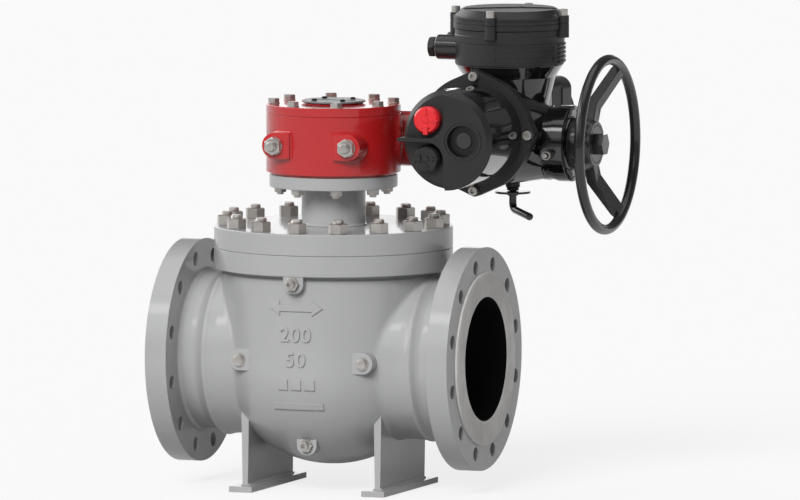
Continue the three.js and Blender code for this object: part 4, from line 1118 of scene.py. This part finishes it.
def terminal_cover():
    """Domed lid with a low step across its top."""
    lid = lathe([(0, 571.35), (96, 571.35, 0.7), (96, 577), (95.2, 577.6), (95.2, 578.4), (96, 579),
                 (96, 582.5, 1), (93.6, 583), (82, 594.4, 1.6), (0, 594.4)], steps=192)
    lid = boolean(lid, cylinder(74, 565, 588.5, steps=96))
    back = np.radians(np.arange(24, 200, 8))
    edge = [(-68, -36), (12, 20), (76, 20), *zip(78 * np.cos(back), 78 * np.sin(back))]
    whole = merged(on_terminal(merged(lid, plate(edge, [], 593, 596, 0.5))), ears(571.35, 585))
    piece("terminal_cover_lid", [(whole, BLACK_SATIN)], "terminal_cover", crease=28)
    screws = on_terminal(at_each(cap_screw(7.6, 585.2, 596, 8), circle(4, 97.7)))
    piece("terminal_cover_screws", [(screws, STEEL)])


def conduit_plug():
    head = laid(hexagon(32.5, 148, 158.6, chamfer_low=True, chamfer_high=False), "x")
    collar = lathe([(0, 158), (15, 158), (15, 159.4), (17.5, 159.8, 0.6), (17.5, 161.6), (13.4, 161.7),
                    (13.4, 183), (0, 183)], "x", steps=64)
    plug = moved(merged(head, collar), (0, DY - 26, 527))
    piece("conduit_plug_turned", [(plug, BLACK_SATIN)], "conduit_plug")


gear_case()
earth_screw()
motor()
terminal_housing()
terminal_cover()
conduit_plug()

# ------------------------------------------------------------------ handwheel and lever
RIM_X, RIM_RADIUS = 460.4, 145.5


def spoke(angle):
    """Bent arm in the x-r plane with rounded edges, a little narrower at the rim."""
    outline = np.array([(414, 30), (433, 30), (433, 72), (RIM_X + 4, 140), (RIM_X - 9, 146),
                        (RIM_X - 15, 139), (414, 74)], float)
    half = np.interp(outline[:, 1], [30, 144], [13, 12])
    work = opened(mesh_of("spoke", prism(outline, -half, half)))
    bmesh.ops.bevel(work, geom=work.edges[:], offset=1.6, segments=3, profile=0.5, affect="EDGES")
    return spun(taken(work), "x", angle)


def handwheel():
    hub = lathe([
        (14.5, 334.7), (26, 334.7, 1), (26, 400.4), (44, 400.4, 1.2), (44, 426, 4), (39.4, 437, 1),
        (39, 441.6, 1), (33.4, 441.6), (32.8, 440.6), (32.2, 440.6), (31.6, 441.6), (14.5, 441.6)],
        "x", steps=128)
    wheel = merged(hub, torus(RIM_RADIUS, 9, RIM_X), *[spoke(angle) for angle in (60, 180, 300)])
    piece("handwheel_casting", [(on_drive(wheel), BLACK_WHEEL)], "handwheel", "handwheel", 30)
    nut = on_drive(laid(hexagon(34, 441.95, 457.6, chamfer_high=False), "x"))
    piece("handwheel_nut_turned", [(nut, BLACK_WHEEL)], "handwheel_nut", "handwheel")


def declutch_lever():
    """Upright round bar, bent at the bottom towards the front, with a disc under the gear case."""
    corner, reach = Vector((0, 0, 250)), Vector((50, -50, -9))
    outward = reach.normalized()
    start, end = corner + Vector((0, 0, 12)), corner + outward * 12
    bend = [(1 - t) ** 2 * start + 2 * t * (1 - t) * corner + t * t * end
            for t in (k / 12 for k in range(1, 13))]
    path = [Vector((0, 0, 328)), Vector((0, 0, 262)), *bend, corner + reach - outward * 3]
    disc = lathe([(0, 276.5), (30.5, 276.5, 1), (30.5, 280.5, 1), (0, 280.5)])
    collar = lathe([(0, 272.5), (9, 272.5, 0.8), (9, 277), (0, 277)], steps=40)
    lever = moved(merged(sweep(path, 6.4), disc, collar), (LEVER_X, LEVER_Y, 0))
    piece("declutch_lever_bar", [(lever, BLACK_WHEEL)], "declutch_lever", "declutch_lever")


handwheel()
declutch_lever()

# ------------------------------------------------------------------ carried-over CAD nodes
for name, thing in frame["nodes"].items():
    if not thing.hide_render:
        thing.data.materials.clear()
        thing.data.materials.append(OVERRIDE.get(name, FINISH[SLOT_OF[name]]))


# ------------------------------------------------------------------ studio
def studio_floor(height):
    """White floor: dim to diffuse rays, so that it lights the model little, and near white to the camera."""
    material = coated("floor_paper", (0.95, 0.95, 0.95), 0.003, 0.9, 3, 0.00001)
    tree = material.node_tree
    rays = shader_node(tree, "LightPath").outputs
    dim = shader_node(tree, "BsdfDiffuse", {"Color": (0.34, 0.34, 0.345, 1)})
    paper = shader_node(tree, "MixShader", {}, {
        0: rays["Is Diffuse Ray"], 1: tree.nodes["Principled BSDF"].outputs[0], 2: dim.outputs[0]})
    share = shader_node(tree, "Math", {1: 0.78}, {0: rays["Is Camera Ray"]}, operation="MULTIPLY")
    glow = shader_node(tree, "Emission")
    lifted = shader_node(tree, "MixShader", {}, {
        0: share.outputs[0], 1: paper.outputs[0], 2: glow.outputs[0]})
    tree.links.new(lifted.outputs[0], tree.nodes["Material Output"].inputs["Surface"])
    mesh = bpy.data.meshes.new("floor")
    corners = [(x, y, height) for x, y in ((-30, -45), (30, -45), (30, 30), (-30, 30))]
    mesh.from_pydata(corners, [], [(0, 1, 2, 3)])
    mesh.materials.append(material)
    placed("floor", mesh)


def product(tree, a, b, operation="MULTIPLY"):
    """Multiplies two sockets, or a number and a socket."""
    node = shader_node(tree, "Math", operation=operation)
    for index, value in enumerate((a, b)):
        if isinstance(value, (int, float)):
            node.inputs[index].default_value = value
        else:
            tree.links.new(value, node.inputs[index])
    return node.outputs[0]


def softbox(tree, strength, *limits):
    """Light panel in the sky: each limit is (axis value, low edge, high edge)."""
    share = strength
    for axis_value, low, high in limits:
        for edge, before, after in ((low, 0, 1), (high, 1, 0)):
            step = remap(tree, axis_value, before, after, "SMOOTHSTEP", edge - 0.03, edge + 0.03)
            share = product(tree, share, step)
    return share


def studio_world():
    """Sky: a slope of light from left to right for diffuse rays, softboxes for glossy ones, and near white
    to the camera."""
    world = bpy.data.worlds.new("studio")
    bpy.context.scene.world = world
    world.use_nodes = True
    tree = world.node_tree
    tree.nodes.clear()
    direction = shader_node(tree, "TexCoord").outputs["Generated"]
    x, y, z = shader_node(tree, "SeparateXYZ", {}, {0: direction}).outputs
    glossy = 0.10
    for panel in (
            softbox(tree, 2.6, (x, -0.98, -0.62), (z, 0.18, 0.66)),
            softbox(tree, 5.0, (x, -0.55, -0.25), (z, 0.62, 0.74), (y, -1.2, 0.0)),
            softbox(tree, 0.9, (z, 0.84, 1.2), (x, -0.5, 0.6)),
            softbox(tree, 0.30, (x, 0.60, 0.95), (z, 0.15, 0.35)),
            softbox(tree, 0.7, (y, -1.2, -0.70), (z, 0.30, 0.60), (x, -0.6, 0.5)),
            softbox(tree, 1.8, (y, 0.5, 1.2), (z, -0.1, 0.22), (x, -0.85, 0.05))):
        glossy = product(tree, glossy, panel, "ADD")
    diffuse = remap(tree, x, 0.47, 0.25, "SMOOTHSTEP", -1.0, 1.0)
    rays = shader_node(tree, "LightPath").outputs
    lit = shader_node(tree, "Mix", {}, {0: rays["Is Glossy Ray"], 2: diffuse, 3: glossy}, data_type="FLOAT")
    seen = shader_node(tree, "Mix", {3: 0.96}, {0: rays["Is Camera Ray"], 2: lit.outputs[0]},
                       data_type="FLOAT")
    background = shader_node(tree, "Background", {"Color": (1, 1, 1, 1)}, {"Strength": seen.outputs[0]})
    shader_node(tree, "OutputWorld", {}, {"Surface": background.outputs[0]})


def key_light():
    """Broad sun from the front and above, left out of reflections."""
    sun = bpy.data.lights.new("key", "SUN")
    sun.energy = 2.8
    sun.angle = math.radians(28)
    key = placed("key", sun)
    key.rotation_euler = Vector((-0.02, -0.85, 0.52)).to_track_quat("Z", "Y").to_euler()
    key.visible_glossy = False


def photo_camera(azimuth, elevation, view_width, middle):
    """Near-orthographic camera: a 1000 mm lens far away, on a 36 mm sensor."""
    lens, sensor = 1000, 36
    a, e = math.radians(azimuth), math.radians(elevation)
    back = Vector((math.sin(a) * math.cos(e), -math.cos(a) * math.cos(e), math.sin(e)))
    camera = placed("camera", bpy.data.cameras.new("camera"))
    camera.data.lens = lens
    camera.data.sensor_width = sensor
    camera.data.clip_start = 1
    camera.data.clip_end = 200
    camera.location = Vector(to_row(middle)) + back * (view_width * lens / sensor)
    camera.rotation_euler = back.to_track_quat("Z", "Y").to_euler()
    bpy.context.scene.camera = camera


studio_floor(cad_box[0][2] - 0.0005)
studio_world()
key_light()
photo_camera(azimuth=19.889, elevation=5.261, view_width=1.372, middle=(101.45, 54.05, 177.18))
bpy.context.scene.view_settings.view_transform = "Standard"
